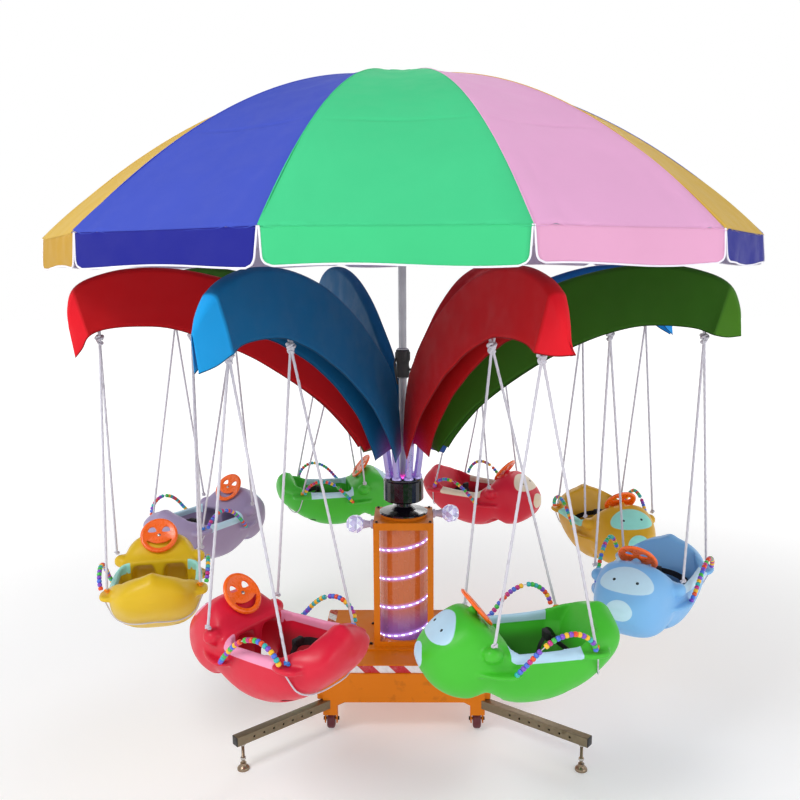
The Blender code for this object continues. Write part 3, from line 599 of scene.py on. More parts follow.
# each cover's side colour and a brighter colour for its outer end flap; the brighter end is a painted highlight, as if
# the flap were lit
PETAL_COLOURS = {
    "red": ((184, 10, 18), (222, 20, 36)), "green": ((44, 92, 14), (66, 118, 24)),
    "blue": ((14, 84, 150), (30, 146, 226)), "teal": ((0, 90, 138), (24, 156, 226)),
}
petal_mats, hem_mats = {}, {}
for name, (side_colour, lit_flap_colour) in PETAL_COLOURS.items():
    paint = cover_paint(rgb(*lit_flap_colour))
    petal_mats[name] = cloth("cover_" + name, rgb(*side_colour), 0.62, 0.10, paint)
    hem_mats[name] = cloth("cover_hem_" + name, shade(rgb(*side_colour), 0.45), 0.62, 0.10)
PETALS = ["green", "blue", "red", "teal", "green", "red", "teal", "red"]
SEAT_PAINTS = [
    ((122, 182, 234), (196, 230, 250)), ((218, 166, 28), (160, 240, 224)), ((220, 34, 60), (246, 232, 208)),
    ((70, 194, 54), (196, 236, 250)), ((160, 146, 180), (196, 232, 246)), ((220, 182, 22), (166, 238, 224)),
    ((214, 24, 54), (250, 160, 196)), ((68, 190, 46), (190, 228, 250)),
]
BEADS = [(238, 76, 30), (246, 190, 30), (60, 190, 70), (70, 110, 220), (200, 40, 130), (40, 180, 180), (130, 70, 200)]
bead_mats = [surface("bead_%d" % (k + 1), rgb(*c), 0.3, tone=0.06, blotch=0.01, grain=0.1, coat=0.3) for k, c in enumerate(BEADS)]


# Frames of the rotating parts

def arm_angle(k):
    return FIRST_ARM + (k - 1) * ARM_STEP


def seat_matrix(k):
    """Frame of seat k at rest: +X to its nose, +Y away from the column, on the floor."""
    angle = math.radians(arm_angle(k))
    spot = shifted(SEAT_RADIUS * math.cos(angle), SEAT_RADIUS * math.sin(angle), 0)
    return spot @ turned_z(arm_angle(k) - 90 + SEAT_YAW)


HOOK_X = HANG_HALF * math.tan(math.radians(SEAT_YAW))


def dress(name, mat, bevel=0.0):
    """A CAD node keeps its shape and gets a finish, and softened edges if asked."""
    obj = nodes[name]
    for slot in obj.material_slots:
        slot.material = mat
    if bevel:
        step = obj.modifiers.new("soft edges", "BEVEL")
        step.width = bevel
        step.segments = 2
        step.limit_method = "ANGLE"
        step.angle_limit = math.radians(40)
    return obj


# Umbrella

def dome_height(radius):
    return CANOPY_EDGE + CANOPY_RISE * (1 - (radius / CANOPY_RADIUS) ** CANOPY_CURVE)


CAP_ROWS = [(0.010, 0.022), (0.035, 0.021), (0.060, 0.018), (0.100, 0.016), (0.135, 0.014), (0.152, 0.012), (0.160, 0.003)]


def canopy_sheet():
    """Twelve gores from the crown to the hem: tight at the ribs, drawn in a little between them."""
    radii = [(r, lift) for r, lift in CAP_ROWS]
    radii += [(r, 0.0) for r in np.concatenate([np.linspace(0.170, 0.980, 34), np.linspace(1.0, 1.10, 12), np.linspace(1.12, 1.5, 24)])]
    columns = 20
    points, uvs, slots = [], [], []
    for r, lift in radii:
        for gore in range(RIB_COUNT):
            for c in range(columns):
                u = c / columns
                start, end = (math.radians((gore - 0.5 + s) * 360 / RIB_COUNT) for s in (0, 1))
                x = r * (math.cos(start) * (1 - u) + math.cos(end) * u)
                y = r * (math.sin(start) * (1 - u) + math.sin(end) * u)
                seam = min(u, 1 - u)
                slack = math.sin(math.pi * u)
                sag = 0.013 * slack * min(1.0, r / 1.0) * (1 - 0.45 * max(0.0, (r - 1.2) / 0.3))
                crease = -0.0060 * math.exp(-((r - 1.05 - 0.008 * math.sin(3 * u + gore)) / 0.005) ** 2)
                tip = max(0.0, 1 - (1.5 - r) / 0.36) * max(0.0, 1 - seam / 0.34)
                fold = 0.0085 * tip * math.sin(40 * seam * (1 + 0.35 * (1.5 - r)) + 9 * (1.5 - r) + gore)
                soft = 0.0015 * math.sin(7.3 * r + 5 * u + 2.1 * gore) * slack
                points.append((x, y, dome_height(r) + lift - sag + crease * slack + fold + soft))
                uvs.append((2 * math.pi * r * (gore + u) / RIB_COUNT, r))
    count = RIB_COUNT * columns
    faces = [tuple(reversed(face)) for face in grid_faces(len(radii), count, ring=True)]
    slots = [gore_slot((k % count) // columns) for k in range(len(faces))]
    faces.append(tuple(range(count)))
    slots.append(gore_slot(0))
    return points, faces, slots, uvs


def gore_slot(gore):
    """Colour number of a gore whose middle points to azimuth gore times 30 degrees."""
    return (gore + 3) % 4


def sheet_object(name, points, faces, slots, uvs, mats, body, thick):
    mesh = bpy.data.meshes.new(name)
    mesh.from_pydata([tuple(p) for p in points], [], faces)
    mesh.polygons.foreach_set("material_index", slots)
    layer = mesh.uv_layers.new(name="cut")
    for loop in mesh.loops:
        layer.data[loop.index].uv = uvs[loop.vertex_index]
    obj = show(name, mesh, mats, body, sharp=None)
    step = obj.modifiers.new("cloth", "SOLIDIFY")
    step.thickness = thick
    step.offset = -1.0
    step.material_offset = len(mats) - 1
    return obj


def build_canopy():
    points, faces, slots, uvs = canopy_sheet()
    canopy = sheet_object("canopy_cloth", points, faces, slots, uvs, canopy_mats + [cloth_inside], "rotor", 0.0015)
    canopy.modifiers["cloth"].material_offset = 4
    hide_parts("umbrella_canopy")
    return canopy


CORNER_ROUND = 0.030
# the one gore whose flap isn't of the gore's own colour
NAVY_FLAP = 11


def flap_point(gore, u, v):
    """A point of the hanging flap of one gore: u along the hem, v from the hem down."""
    start, end = (math.radians((gore - 0.5 + s) * 360 / RIB_COUNT) for s in (0, 1))
    x = CANOPY_RADIUS * (math.cos(start) * (1 - u) + math.cos(end) * u)
    y = CANOPY_RADIUS * (math.sin(start) * (1 - u) + math.sin(end) * u)
    middle = math.radians(gore * 360 / RIB_COUNT)
    out = Vector((math.cos(middle), math.sin(middle), 0))
    seam = min(u, 1 - u)
    wave = 0.004 * math.sin(9 * u + 2.3 * gore) + 0.002 * math.sin(23 * u + gore)
    lean = (0.006 + wave) * v + 0.005 * math.sin(math.pi * v) * math.sin(math.pi * u)
    inset = max(0.0, 1 - seam / 0.06) * 0.016
    drop = VALANCE_DROP * v + 0.006 * v * math.sin(2 * math.pi * u + gore)
    hem = CANOPY_EDGE - 0.0015 * math.sin(math.pi * u)
    return Vector((x, y, hem - drop)) + out * (lean - inset * (1 - v) * 0.2 - 0.001)


def flap_grid(gore, rows=14, columns=44):
    """The flap as a grid whose lower corners are rounded and whose ends clear the rib tips."""
    grid = []
    for i in range(rows):
        for j in range(columns):
            v = i / (rows - 1)
            u = j / (columns - 1)
            side = 0.005 + 0.010 * v
            fall = max(0.0, (v - 1 + CORNER_ROUND / VALANCE_DROP) * VALANCE_DROP / CORNER_ROUND)
            corner = CORNER_ROUND / 0.776 * (1 - math.sqrt(max(0.0, 1 - fall * fall)))
            low, high = side + corner, 1 - side - corner
            grid.append((low + (high - low) * u, v))
    return grid


def build_valance():
    rows, columns = 14, 44
    points, faces, slots, uvs = [], [], [], []
    trim = Solid()
    for gore in range(RIB_COUNT):
        grid = flap_grid(gore, rows, columns)
        start = len(points)
        points += [flap_point(gore, u, v) for u, v in grid]
        uvs += [(0.776 * u, VALANCE_DROP * v) for u, v in grid]
        faces += [tuple(start + k for k in reversed(face)) for face in grid_faces(rows, columns)]
        slots += [3 if gore == NAVY_FLAP else gore_slot(gore)] * ((rows - 1) * (columns - 1))
        left = [grid[i * columns] for i in range(rows)]
        bottom = [grid[(rows - 1) * columns + j] for j in range(1, columns - 1)]
        right = [grid[i * columns + columns - 1] for i in reversed(range(rows))]
        edge = [flap_point(gore, u, v) for u, v in left + bottom + right]
        trim.add(sweep(even_line(edge, 0.008), 0.0032, 6))
    valance = sheet_object("valance_cloth", points, faces, slots, uvs, valance_mats + [cloth_inside], "rotor", 0.0015)
    valance.modifiers["cloth"].material_offset = 4
    edging = trim.build("valance_piping", [piping], "rotor")
    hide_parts("umbrella_canopy")
    return valance, edging


def build_seam_lines():
    """Stitched seams over the ribs."""
    seams = Solid()
    radii = np.linspace(0.165, 1.495, 60)
    for rib in range(RIB_COUNT):
        angle = math.radians((rib + 0.5) * 360 / RIB_COUNT)
        path = [(r * math.cos(angle), r * math.sin(angle), dome_height(r) + 0.0004) for r in radii]
        seams.add(sweep(path, 0.0018, 6), rib % 4)
    seams.build("canopy_seams", canopy_mats, "rotor")


def build_umbrella():
    canopy = build_canopy()
    valance, edging = build_valance()
    build_seam_lines()
    dress("umbrella_ribs", pole_grey)
    dress("umbrella_pole", pole_grey)
    top = dome_height(0) + 0.022
    finial = Solid().add(turned([(0.004, top - 0.004), (0.030, top - 0.001), (0.028, top + 0.003), (0.010, top + 0.006)]))
    finial.build("crown_button", [canopy_mats[3]], "rotor")
    joint = Solid()
    profile = [(0.0275, 1.566), (0.0305, 1.568), (0.0315, 1.580), (0.0315, 1.612), (0.0290, 1.618), (0.0290, 1.632),
               (0.0320, 1.640), (0.0320, 1.682), (0.0300, 1.690), (0.0275, 1.692)]
    joint.add(ring_solid(profile, 40))
    for turn in range(0, 360, 45):
        rib = block((0.030, -0.0035, 1.642), (0.0350, 0.0035, 1.680), 0.0012, 2)
        joint.add(rib, 0, turned_z(turn + 10))
    tail = smooth_line([(-0.030, -0.016, 1.655), (-0.036, -0.022, 1.630), (-0.034, -0.026, 1.600), (-0.028, -0.024, 1.560),
                        (-0.022, -0.018, 1.535)], 8)
    joint.add(sweep(tail, 0.004, 10))
    knob = turned([(0.006, 0.0), (0.006, 0.012), (0.014, 0.014), (0.016, 0.022), (0.012, 0.030)], 20)
    joint.add(knob, 0, shifted(0.029, 0, 1.600) @ pointed((1, 0, 0)))
    joint.build("pole_joint", [black_plastic], "rotor")


# Arms and their covers

def build_arms():
    """Round arched tubes with a foot, rope eyes and the plate that carries them."""
    line = [(0.066, 1.094)] + [centre for centre, edge in ARM_LINE]
    path = smooth_line([(r, 0, z) for r, z in line], 8)
    heights = {side: np.interp(hook_radius(side), path[:, 0], path[:, 2]) for side in (-1, 1)}
    arm = Solid()
    arm.add(sweep(path, ARM_RADIUS, 20))
    arm.add(turned([(0.024, 0.0), (0.024, 0.006), (0.018, 0.014)], 24), 0, shifted(0.0665, 0, 1.1000))
    for side in (-1, 1):
        radius = hook_radius(side)
        lug = turned_z(SEAT_YAW)
        ring = sweep([(0, 0.0095 * math.cos(a), 0.0095 * math.sin(a)) for a in np.linspace(0, 2 * math.pi, 25)[:-1]],
                     0.0028, 10, closed=True)
        place = shifted(radius, 0, HOOK_Z) @ lug @ Matrix.Rotation(math.pi / 2, 4, "Z")
        arm.add(ring, 0, place)
        stem = block((-0.0035, -0.005, 0.011), (0.0035, 0.005, heights[side] - HOOK_Z), 0.001)
        arm.add(stem, 0, place)
    whole = Solid()
    piece = np.vstack(arm.points), arm.faces
    for k in range(1, SEAT_COUNT + 1):
        whole.add(piece, 0, turned_z(arm_angle(k)))
    plate = [(0.0184, 1.0905), (0.0875, 1.0905), (0.0880, 1.0915), (0.0880, 1.0990), (0.0870, 1.1000), (0.0184, 1.1000)]
    whole.add(ring_solid(plate, 48), 1)
    for k in range(SEAT_COUNT):
        bolt = turned([(0.0062, 0), (0.0062, 0.004), (0.0050, 0.005)], 6)
        whole.add(bolt, 2, turned_z(arm_angle(k + 1) + 22.5) @ shifted(0.074, 0, 1.1000))
    arms = whole.build("arm_tubes", [arm_silver, black_gloss, bolt_steel], "rotor")
    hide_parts("arm_frame")
    lamp = ring_solid([(0.030, 1.1005), (0.034, 1.1005), (0.034, 1.1045), (0.030, 1.1045)], 48)
    Solid().add(lamp).build("hub_lamp_ring", [magenta_lamp], "rotor")


def hook_radius(side):
    """Distance from the axis of the outer (+1) or inner (-1) rope eye."""
    return SEAT_RADIUS + side * HANG_HALF / math.cos(math.radians(SEAT_YAW))


def cover_half_width(depth, height, pinch):
    """Half width of a cover at a depth below its ridge."""
    over = 1 - min(depth / 0.018, 1.0)
    return pinch * (0.028 * math.sqrt(1 - over * over) + 0.022 * (depth / height) ** 1.3)


# how far each cover's ridge end and its tip hang from the usual place, outwards and up
END_SHIFT = {
    1: ((-0.020, 0.000), (-0.010, 0.037)), 2: ((0.000, -0.015), (0.015, -0.045)),
    3: ((0.010, 0.000), (0.000, 0.010)), 4: ((-0.010, -0.005), (0.010, -0.010)),
    5: ((0.000, -0.010), (-0.010, 0.015)), 6: ((-0.038, 0.000), (-0.048, -0.045)),
    7: ((0.028, 0.026), (0.018, -0.010)), 8: ((0.010, 0.000), (0.050, 0.048)),
}
# rows left off at the inner end, where a cover is pushed up its arm
INNER_TRIM = {1: 3, 2: 1, 3: 1, 4: 1, 5: 1, 6: 3, 7: 1, 8: 2}
# station of the upright crease where the sides turn in to the tip
CREASE = 10.0


def build_covers():
    """Cloth laid over each arm, with upright sides that meet in a drooping tip at the outer end."""
    pinches = [1.0] * 10 + [1.0, 0.56, 0.08]
    at = np.arange(len(pinches))
    rest = ARM_RADIUS * math.cos(math.radians(30)) + 0.0036
    depths = np.concatenate([[0, 0.04, 0.09, 0.16, 0.30, 0.5, 0.75, 1.0] , np.linspace(1.0, 11.0, 17)[1:]]) * 0.018
    depths = depths / depths[-1]
    for k in range(1, SEAT_COUNT + 1):
        ridge_end, tip = END_SHIFT[k]
        shift = np.array(ridge_end + tip)
        stations = np.array([(c[0], c[1], e[0], e[1]) for c, e in ARM_LINE + COVER_END])
        stations[-2] += shift * 0.5
        stations[-1] += shift
        line = smooth_line(stations, 6)
        number = np.arange(len(line)) / 6
        pinch = np.interp(number, at, pinches) + 0.07 * np.exp(-((number - CREASE) / 0.14) ** 2)
        first = INNER_TRIM.get(k, 0)
        line, pinch = line[first:], pinch[first:]
        ridge_line = line[:, :2]
        along = np.gradient(ridge_line, axis=0)
        along /= np.linalg.norm(along, axis=1)[:, None]
        ridge = ridge_line + rest * np.stack([-along[:, 1], along[:, 0]], axis=1)
        run = np.concatenate([[0], np.cumsum(np.linalg.norm(np.diff(ridge, axis=0), axis=1))])
        half = []
        for i in range(len(line)):
            top, edge = ridge[i], line[i, 2:]
            height = np.linalg.norm(edge - top)
            for d in depths:
                spot = top + (edge - top) * d
                half.append((spot[0], cover_half_width(d * height, height, pinch[i]), spot[1], run[i], d * height))
        half = np.array(half).reshape(len(line), len(depths), 5)
        left = half.copy()
        right = half[:, ::-1].copy()
        right[:, :, 1] *= -1
        right[:, :, 4] *= -1
        rows = np.concatenate([right[:, :-1], left], axis=1)
        columns = rows.shape[1]
        flat = rows.reshape(-1, 5)
        low = np.abs(flat[:, 4]) / 0.22
        lean = softly(flat[:, :3], 0.34, k) * 0.0035 * np.clip(low * 2, 0, 1)
        dent = np.zeros(len(flat))
        for side in (-1, 1):
            from_hook = (flat[:, 0] - hook_radius(side)) / 0.05
            dent -= 0.006 * np.exp(-from_hook ** 2) * np.clip(low * 1.6 - 0.2, 0, 1)
        flat[:, 1] += np.sign(flat[:, 1]) * (lean + dent)
        flat[:, 2] += 0.0015 * softly(flat[:, :3] * (1, 0, 0) + (k, 0, 0), 0.2, k + 20) * low
        faces = grid_faces(len(line), columns)
        turn = np.array(turned_z(arm_angle(k)))[:3, :3]
        points = flat[:, :3] @ turn.T
        uvs = [(a, b) for a, b in flat[:, 3:]]
        name = "cover_cloth_%d" % k
        mat = petal_mats[PETALS[k - 1]]
        cover = sheet_object(name, points, faces, [0] * len(faces), uvs, [mat, mat], "rotor", 0.0014)
        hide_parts("petal_cover_%d" % k)
        # mask of the end flap past the crease, where the painted highlight goes
        beyond = np.repeat(np.clip((number[first:] - CREASE) / 0.10, 0, 1), columns)
        cover.data.attributes.new("flap", "FLOAT", "POINT").data.foreach_set("value", beyond.astype(np.float32))
        ends = np.empty(len(cover.data.edges) * 2, int)
        cover.data.edges.foreach_get("vertices", ends)
        in_row = ends.reshape(-1, 2) // columns == round(CREASE * 6) - first
        cover.data.attributes.new("sharp_edge", "BOOLEAN", "EDGE").data.foreach_set("value", in_row.all(axis=1))
        edges = [points[[i * columns for i in range(len(line))]], points[[(i + 1) * columns - 1 for i in range(len(line))]]]
        hem = Solid()
        for edge in edges:
            hem.add(sweep(even_line(edge, 0.012), 0.0020, 6))
        seam = hem.build("cover_hem_%d" % k, [hem_mats[PETALS[k - 1]]], "rotor")


# Seats

SEAT_STATIONS = [
    (0.345, 0.738, 0.748, 0.762, 0.022, 0.62),
    (0.328, 0.694, 0.744, 0.788, 0.068, 0.62),
    (0.290, 0.648, 0.744, 0.828, 0.111, 0.64),
    (0.235, 0.616, 0.744, 0.872, 0.139, 0.68),
    (0.175, 0.606, 0.748, 0.899, 0.153, 0.74),
    (0.125, 0.622, 0.756, 0.874, 0.160, 0.66),
    (0.075, 0.594, 0.765, 0.822, 0.168, 0.45),
    (0.000, 0.574, 0.775, 0.802, 0.180, 0.35),
    (-0.100, 0.580, 0.775, 0.800, 0.184, 0.35),
    (-0.185, 0.610, 0.775, 0.812, 0.182, 0.40),
    (-0.250, 0.648, 0.775, 0.850, 0.172, 0.75),
    (-0.315, 0.698, 0.785, 0.874, 0.150, 1.05),
    (-0.355, 0.742, 0.800, 0.852, 0.110, 1.05),
    (-0.371, 0.785, 0.802, 0.820, 0.030, 0.80),
]


def seat_hull():
    rings = []
    angles = np.arange(64) * 2 * math.pi / 64
    for x, low, wide, top, half, peak in smooth_line(SEAT_STATIONS, 4):
        c, s = np.cos(angles), np.sin(angles)
        power = np.where(s > 0, peak, 0.62)
        y = half * np.sign(c) * np.abs(c) ** power
        height = np.where(s > 0, top - wide, wide - low)
        brim = np.clip((-0.24 - x) / 0.07, 0, 1) * np.where(s > 0, 0.55, 0.25)
        z = wide + height * np.sign(s) * np.abs(s) ** (0.80 + brim)
        crest = 0.012 * np.clip((-0.21 - x) / 0.06, 0, 1) * np.clip((top - 0.81) / 0.04, 0, 1)
        z = z + np.where(s > 0, crest * np.exp(-(y / 0.024) ** 2), 0)
        rings.append(np.stack([np.full(64, x), y, z], axis=1))
    return loft(rings)


def cockpit():
    """Space for the child, as in the CAD."""
    bottom = [(0.062, 0.108), (0.042, 0.128), (-0.175, 0.128), (-0.205, 0.098)]
    middle = [(0.052, 0.138), (0.032, 0.158), (-0.185, 0.158), (-0.238, 0.138)]
    top = [(0.052, 0.138), (0.032, 0.158), (-0.230, 0.154), (-0.318, 0.088)]
    rings = []
    for outline, z in ((bottom, 0.622), (middle, 0.760), (top, 0.960)):
        right = [(x, -y, z) for x, y in reversed(outline)]
        rings.append([(x, y, z) for x, y in outline] + right)
    return loft(rings)


def leg_hole(side):
    outline = [(0.040, 0.690), (0.040, 0.778), (0.052, 0.792), (0.130, 0.784), (0.168, 0.745)]
    outline += [(0.176, 0.690), (0.170, 0.540), (0.072, 0.540), (0.062, 0.650)]
    centre = Vector((0.105, 0.680))
    rings = []
    for y, squeeze in ((0.018, 0.80), (0.030, 1.0), (0.100, 1.0), (0.116, 0.80)):
        points = [centre + (Vector(p) - centre) * squeeze for p in outline]
        rings.append([(p.x, side * y, p.y if p.y > 0.60 else 0.530) for p in points])
    return loft(rings)


def plate(outline, low, high, side):
    curve = smooth_line(outline, 5, closed=True)
    return loft([[(x, side * y, z) for x, y in curve] for z in (low, high)])


def wheel_matrix():
    x, z = WHEEL_PLACE
    return shifted(x, 0, z) @ Matrix.Rotation(math.radians(-WHEEL_LEAN), 4, "Y")


def pale_distance(co):
    """Distance in metres into the pale areas of a seat: eye field, muzzle and side rails."""
    x, y, z = co.T
    across = np.abs(y)
    arch = 1 - np.sqrt((y / 0.114) ** 2 + ((z - 0.814) / 0.074) ** 2)
    brow = arch * 0.09
    sill = z - 0.814
    eyes = sill + brow - np.sqrt(sill ** 2 + brow ** 2 + 0.012 ** 2) * 0.98
    eyes = np.minimum(eyes, x - 0.155)
    muzzle = np.minimum((1 - np.sqrt((y / 0.052) ** 2 + ((z - 0.752) / 0.040) ** 2)) * 0.05, x - 0.27)
    ends = np.minimum(x + 0.186, 0.058 - x)
    rails = np.minimum(np.minimum(z - 0.764, ends), across - 0.120)
    return np.maximum(np.maximum(eyes, muzzle), rails)


def seat_mesh():
    """One seat with rounded edges, shared in shape by all eight."""
    hull = mesh_shape(carved(seat_hull(), [cockpit(), leg_hole(1), leg_hole(-1)]))
    whole = Solid().add(hull)
    wing_top = REAR_HOLE[1] - 0.0117
    boss_top = FRONT_HOLE[1] - 0.0126
    wing = [
        (-0.165, 0.160), (-0.176, 0.188), (-0.204, 0.207), (-0.246, 0.211), (-0.280, 0.196), (-0.285, 0.155),
        (-0.220, 0.160),
    ]
    fin = [(0.196, 0.128), (0.150, 0.176), (0.090, 0.205), (0.046, 0.206), (0.024, 0.184), (0.040, 0.150), (0.120, 0.140)]
    for side in (-1, 1):
        whole.add(plate(wing, wing_top - 0.020, wing_top, side))
        whole.add(plate(fin, 0.723, 0.738, side))
        knob = turned(smooth_line([(0.002, -1.0), (0.55, -0.84), (0.93, -0.36), (0.93, 0.36), (0.55, 0.84), (0.002, 1.0)], 4), 28)
        squash = Matrix.Diagonal((0.036, 0.034, 0.028, 1))
        whole.add(knob, 0, shifted(FRONT_HOLE[0], side * 0.160, boss_top - 0.0275) @ squash)
    whole.add(turned([(0.020, -0.075), (0.017, -WHEEL_THICK / 2 - 0.0006)], 24), 0, wheel_matrix())
    obj = whole.build("seat_form", [], None)
    remesh = obj.modifiers.new("one skin", "REMESH")
    remesh.mode = "VOXEL"
    remesh.voxel_size = 0.0056
    smooth = obj.modifiers.new("rounding", "SMOOTH")
    smooth.factor = 0.5
    smooth.iterations = 6
    thin = obj.modifiers.new("lighter", "DECIMATE")
    thin.ratio = 0.38
    mesh = applied(obj)
    mesh.name = "seat_form"
    co, faces = mesh_shape(mesh)
    normal = np.empty(len(co) * 3)
    mesh.vertices.foreach_get("normal", normal)
    normal = normal.reshape(-1, 3)
    pale = pale_distance(co)
    raise_by = np.clip(pale / 0.003, 0, 1) * 0.0012
    mouth = np.abs(co[:, 2] - (0.690 + 2.0 * co[:, 1] ** 2)) / 0.005
    groove = np.exp(-mouth ** 2) * np.clip((co[:, 0] - 0.285) / 0.01, 0, 1) * np.clip((0.060 - np.abs(co[:, 1])) / 0.01, 0, 1)
    co = co + normal * (raise_by - 0.0022 * groove)[:, None]
    mesh.vertices.foreach_set("co", co.ravel())
    mesh.attributes.new("pale", "FLOAT", "POINT").data.foreach_set("value", pale.astype(np.float32))
    # hollow: how far below z 0.75 an inner cockpit face lies, the strength of the painted shade in the cockpit
    inside = (co[:, 0] > -0.30) & (co[:, 0] < 0.06) & (np.abs(co[:, 1]) < 0.165) & (co[:, 2] > 0.612)
    inward = (np.sign(co[:, 1]) * normal[:, 1] < 0.3) & (normal[:, 2] > -0.3) & (normal[:, 0] > -0.9)
    hollow = np.where(inside & inward, np.clip(0.75 - co[:, 2], 0, 0.1), 0)
    mesh.attributes.new("hollow", "FLOAT", "POINT").data.foreach_set("value", hollow.astype(np.float32))
    mesh.update()
    return mesh


def on_surface(tree, start, direction):
    """Point and normal where a line meets the seat."""
    hit, normal, index, far = tree.ray_cast(Vector(start), Vector(direction).normalized())
    return hit, normal


def eye_dots(tree):
    dots = Solid()
    for side in (-1, 1):
        hit, normal = on_surface(tree, (0.6, side * 0.046, 0.849), (-1, 0, 0))
        dome = turned([(0.0062, -0.001), (0.0060, 0.0006), (0.0044, 0.0016), (0.0020, 0.0021)], 20)
        dots.add(dome, 0, Matrix.Translation(hit) @ pointed(normal))
    return dots


def belly_rope(tree):
    """Thin rope from wing to wing that hangs round the underside of the tail."""
    path = [(-0.236, 0.196, 0.772)]
    for degrees in range(-20, -161, -7):
        a = math.radians(degrees)
        direction = Vector((0, math.cos(a), math.sin(a)))
        middle = Vector((-0.236 - 0.070 * math.sin(-a) ** 1.5, 0, 0.775))
        hit, normal = on_surface(tree, middle + direction * 0.5, -direction)
        path.append(tuple(hit + direction * (0.0040 + 0.006 * math.sin(-a))))
    path.append((-0.236, -0.196, 0.772))
    fine = even_line(smooth_line(path, 5), 0.006)
    return sweep(fine, 0.0030, 8, strands=3, pitch=0.012)


def belt():
    """Crotch strap and two lap straps that meet at a buckle."""
    buckle = (-0.128, 0.0, 0.778)
    straps = Solid()
    runs = [
        [(-0.086, 0, 0.624), (-0.092, 0, 0.680), (-0.104, 0, 0.738), buckle],
        [buckle, (-0.148, 0.045, 0.770), (-0.184, 0.088, 0.744), (-0.214, 0.122, 0.704)],
        [buckle, (-0.148, -0.045, 0.770), (-0.184, -0.088, 0.744), (-0.214, -0.122, 0.704)],
    ]
    for run, across in zip(runs, ((0, 1, 0), (0.3, 0.2, 0.9), (0.3, -0.2, 0.9))):
        straps.add(strap(even_line(smooth_line(run, 8), 0.008), across, 0.028, 0.0022))
    straps.add(block((-0.138, -0.022, 0.762), (-0.118, 0.022, 0.794), 0.004, 3))
    return straps


BEAD_LINE = [
    (0.052, 0.196, 0.734), (0.030, 0.203, 0.760), (0.000, 0.207, 0.792), (-0.036, 0.210, 0.828), (-0.082, 0.212, 0.858),
    (-0.140, 0.213, 0.870), (-0.186, 0.213, 0.854), (-0.214, 0.210, 0.826), (-0.224, 0.204, 0.799),
]


def bead_path(side, rise):
    """Line of a bead string from the front fin over to the wing."""
    rows = [(x, side * y, 0.790 + (z - 0.790) * rise if z > 0.790 else z) for x, y, z in BEAD_LINE]
    return smooth_line(rows, 8)


def bead_string(side, seed):
    random = np.random.default_rng(seed)
    path = bead_path(side, random.uniform(0.85, 1.20))
    line = even_line(path, 0.0150)
    string = Solid()
    string.add(sweep(even_line(path, 0.006), 0.0018, 6), 0)
    profile = [
        (0.0032, -0.0074), (0.0070, -0.0068), (0.0091, -0.0042), (0.0095, 0), (0.0091, 0.0042), (0.0070, 0.0068),
        (0.0032, 0.0074),
    ]
    bead = turned(profile, 14)
    gap = int(random.integers(8, 16))
    colour = int(random.integers(0, 7))
    for i in range(len(line) - 1):
        if i == gap:
            continue
        middle = (line[i] + line[i + 1]) / 2
        colour = (colour + int(random.integers(1, 6))) % 7
        string.add(bead, colour + 1, Matrix.Translation(middle) @ pointed(line[i + 1] - line[i]))
    return string


def knot(size, thick):
    """A tied knot: a closed rope that winds round itself."""
    t = np.linspace(0, 2 * math.pi, 73)[:-1]
    out = size * (1 + 0.42 * np.cos(3 * t))
    path = np.stack([out * np.cos(2 * t), out * np.sin(2 * t), 0.62 * size * np.sin(3 * t)], axis=1)
    return sweep(path, thick, 10, closed=True, strands=3, pitch=0.012)


def build_seats():
    form = seat_mesh()
    co, faces = mesh_shape(form)
    tree = BVHTree.FromPolygons([tuple(p) for p in co], faces)
    dots = eye_dots(tree)
    tail_rope = belly_rope(tree)
    for k in range(1, SEAT_COUNT + 1):
        body = "seat_%d" % k
        place = seat_matrix(k)
        main, pale = (rgb(*colour) for colour in SEAT_PAINTS[k - 1])
        skin = surface("seat_plastic_%d" % k, main, 0.42, tone=0.06, blotch=0.14, grain=0.05, grain_size=0.0020,
                       depth=0.0002, coat=0.05, paint=patches(pale), shine=0.35)
        mesh = form.copy()
        mesh.transform(place)
        shell = show("seat_body_%d" % k, mesh, [skin], body, sharp=None)
        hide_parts("seat_shell_%d" % k)
        trim = Solid().add((np.vstack(dots.points), dots.faces), 0, place)
        trim.build("eye_dots_%d" % k, [eye_black], body)
        Solid().add(tail_rope, 0, place).build("belly_rope_%d" % k, [rope_white], body)
        straps = belt()
        Solid().add((np.vstack(straps.points), straps.faces), 0, place).build("belt_%d" % k, [belt_black], body)
        for side, name in ((1, "outer"), (-1, "inner")):
            beads = bead_string(side, 10 * k + side)
            whole = Solid()
            whole.points = [np.vstack(beads.points) @ np.array(place)[:3, :3].T + np.array(place)[:3, 3]]
            whole.faces, whole.slots = beads.faces, beads.slots
            whole.build("beads_%s_%d" % (name, k), [rope_white] + bead_mats, body)


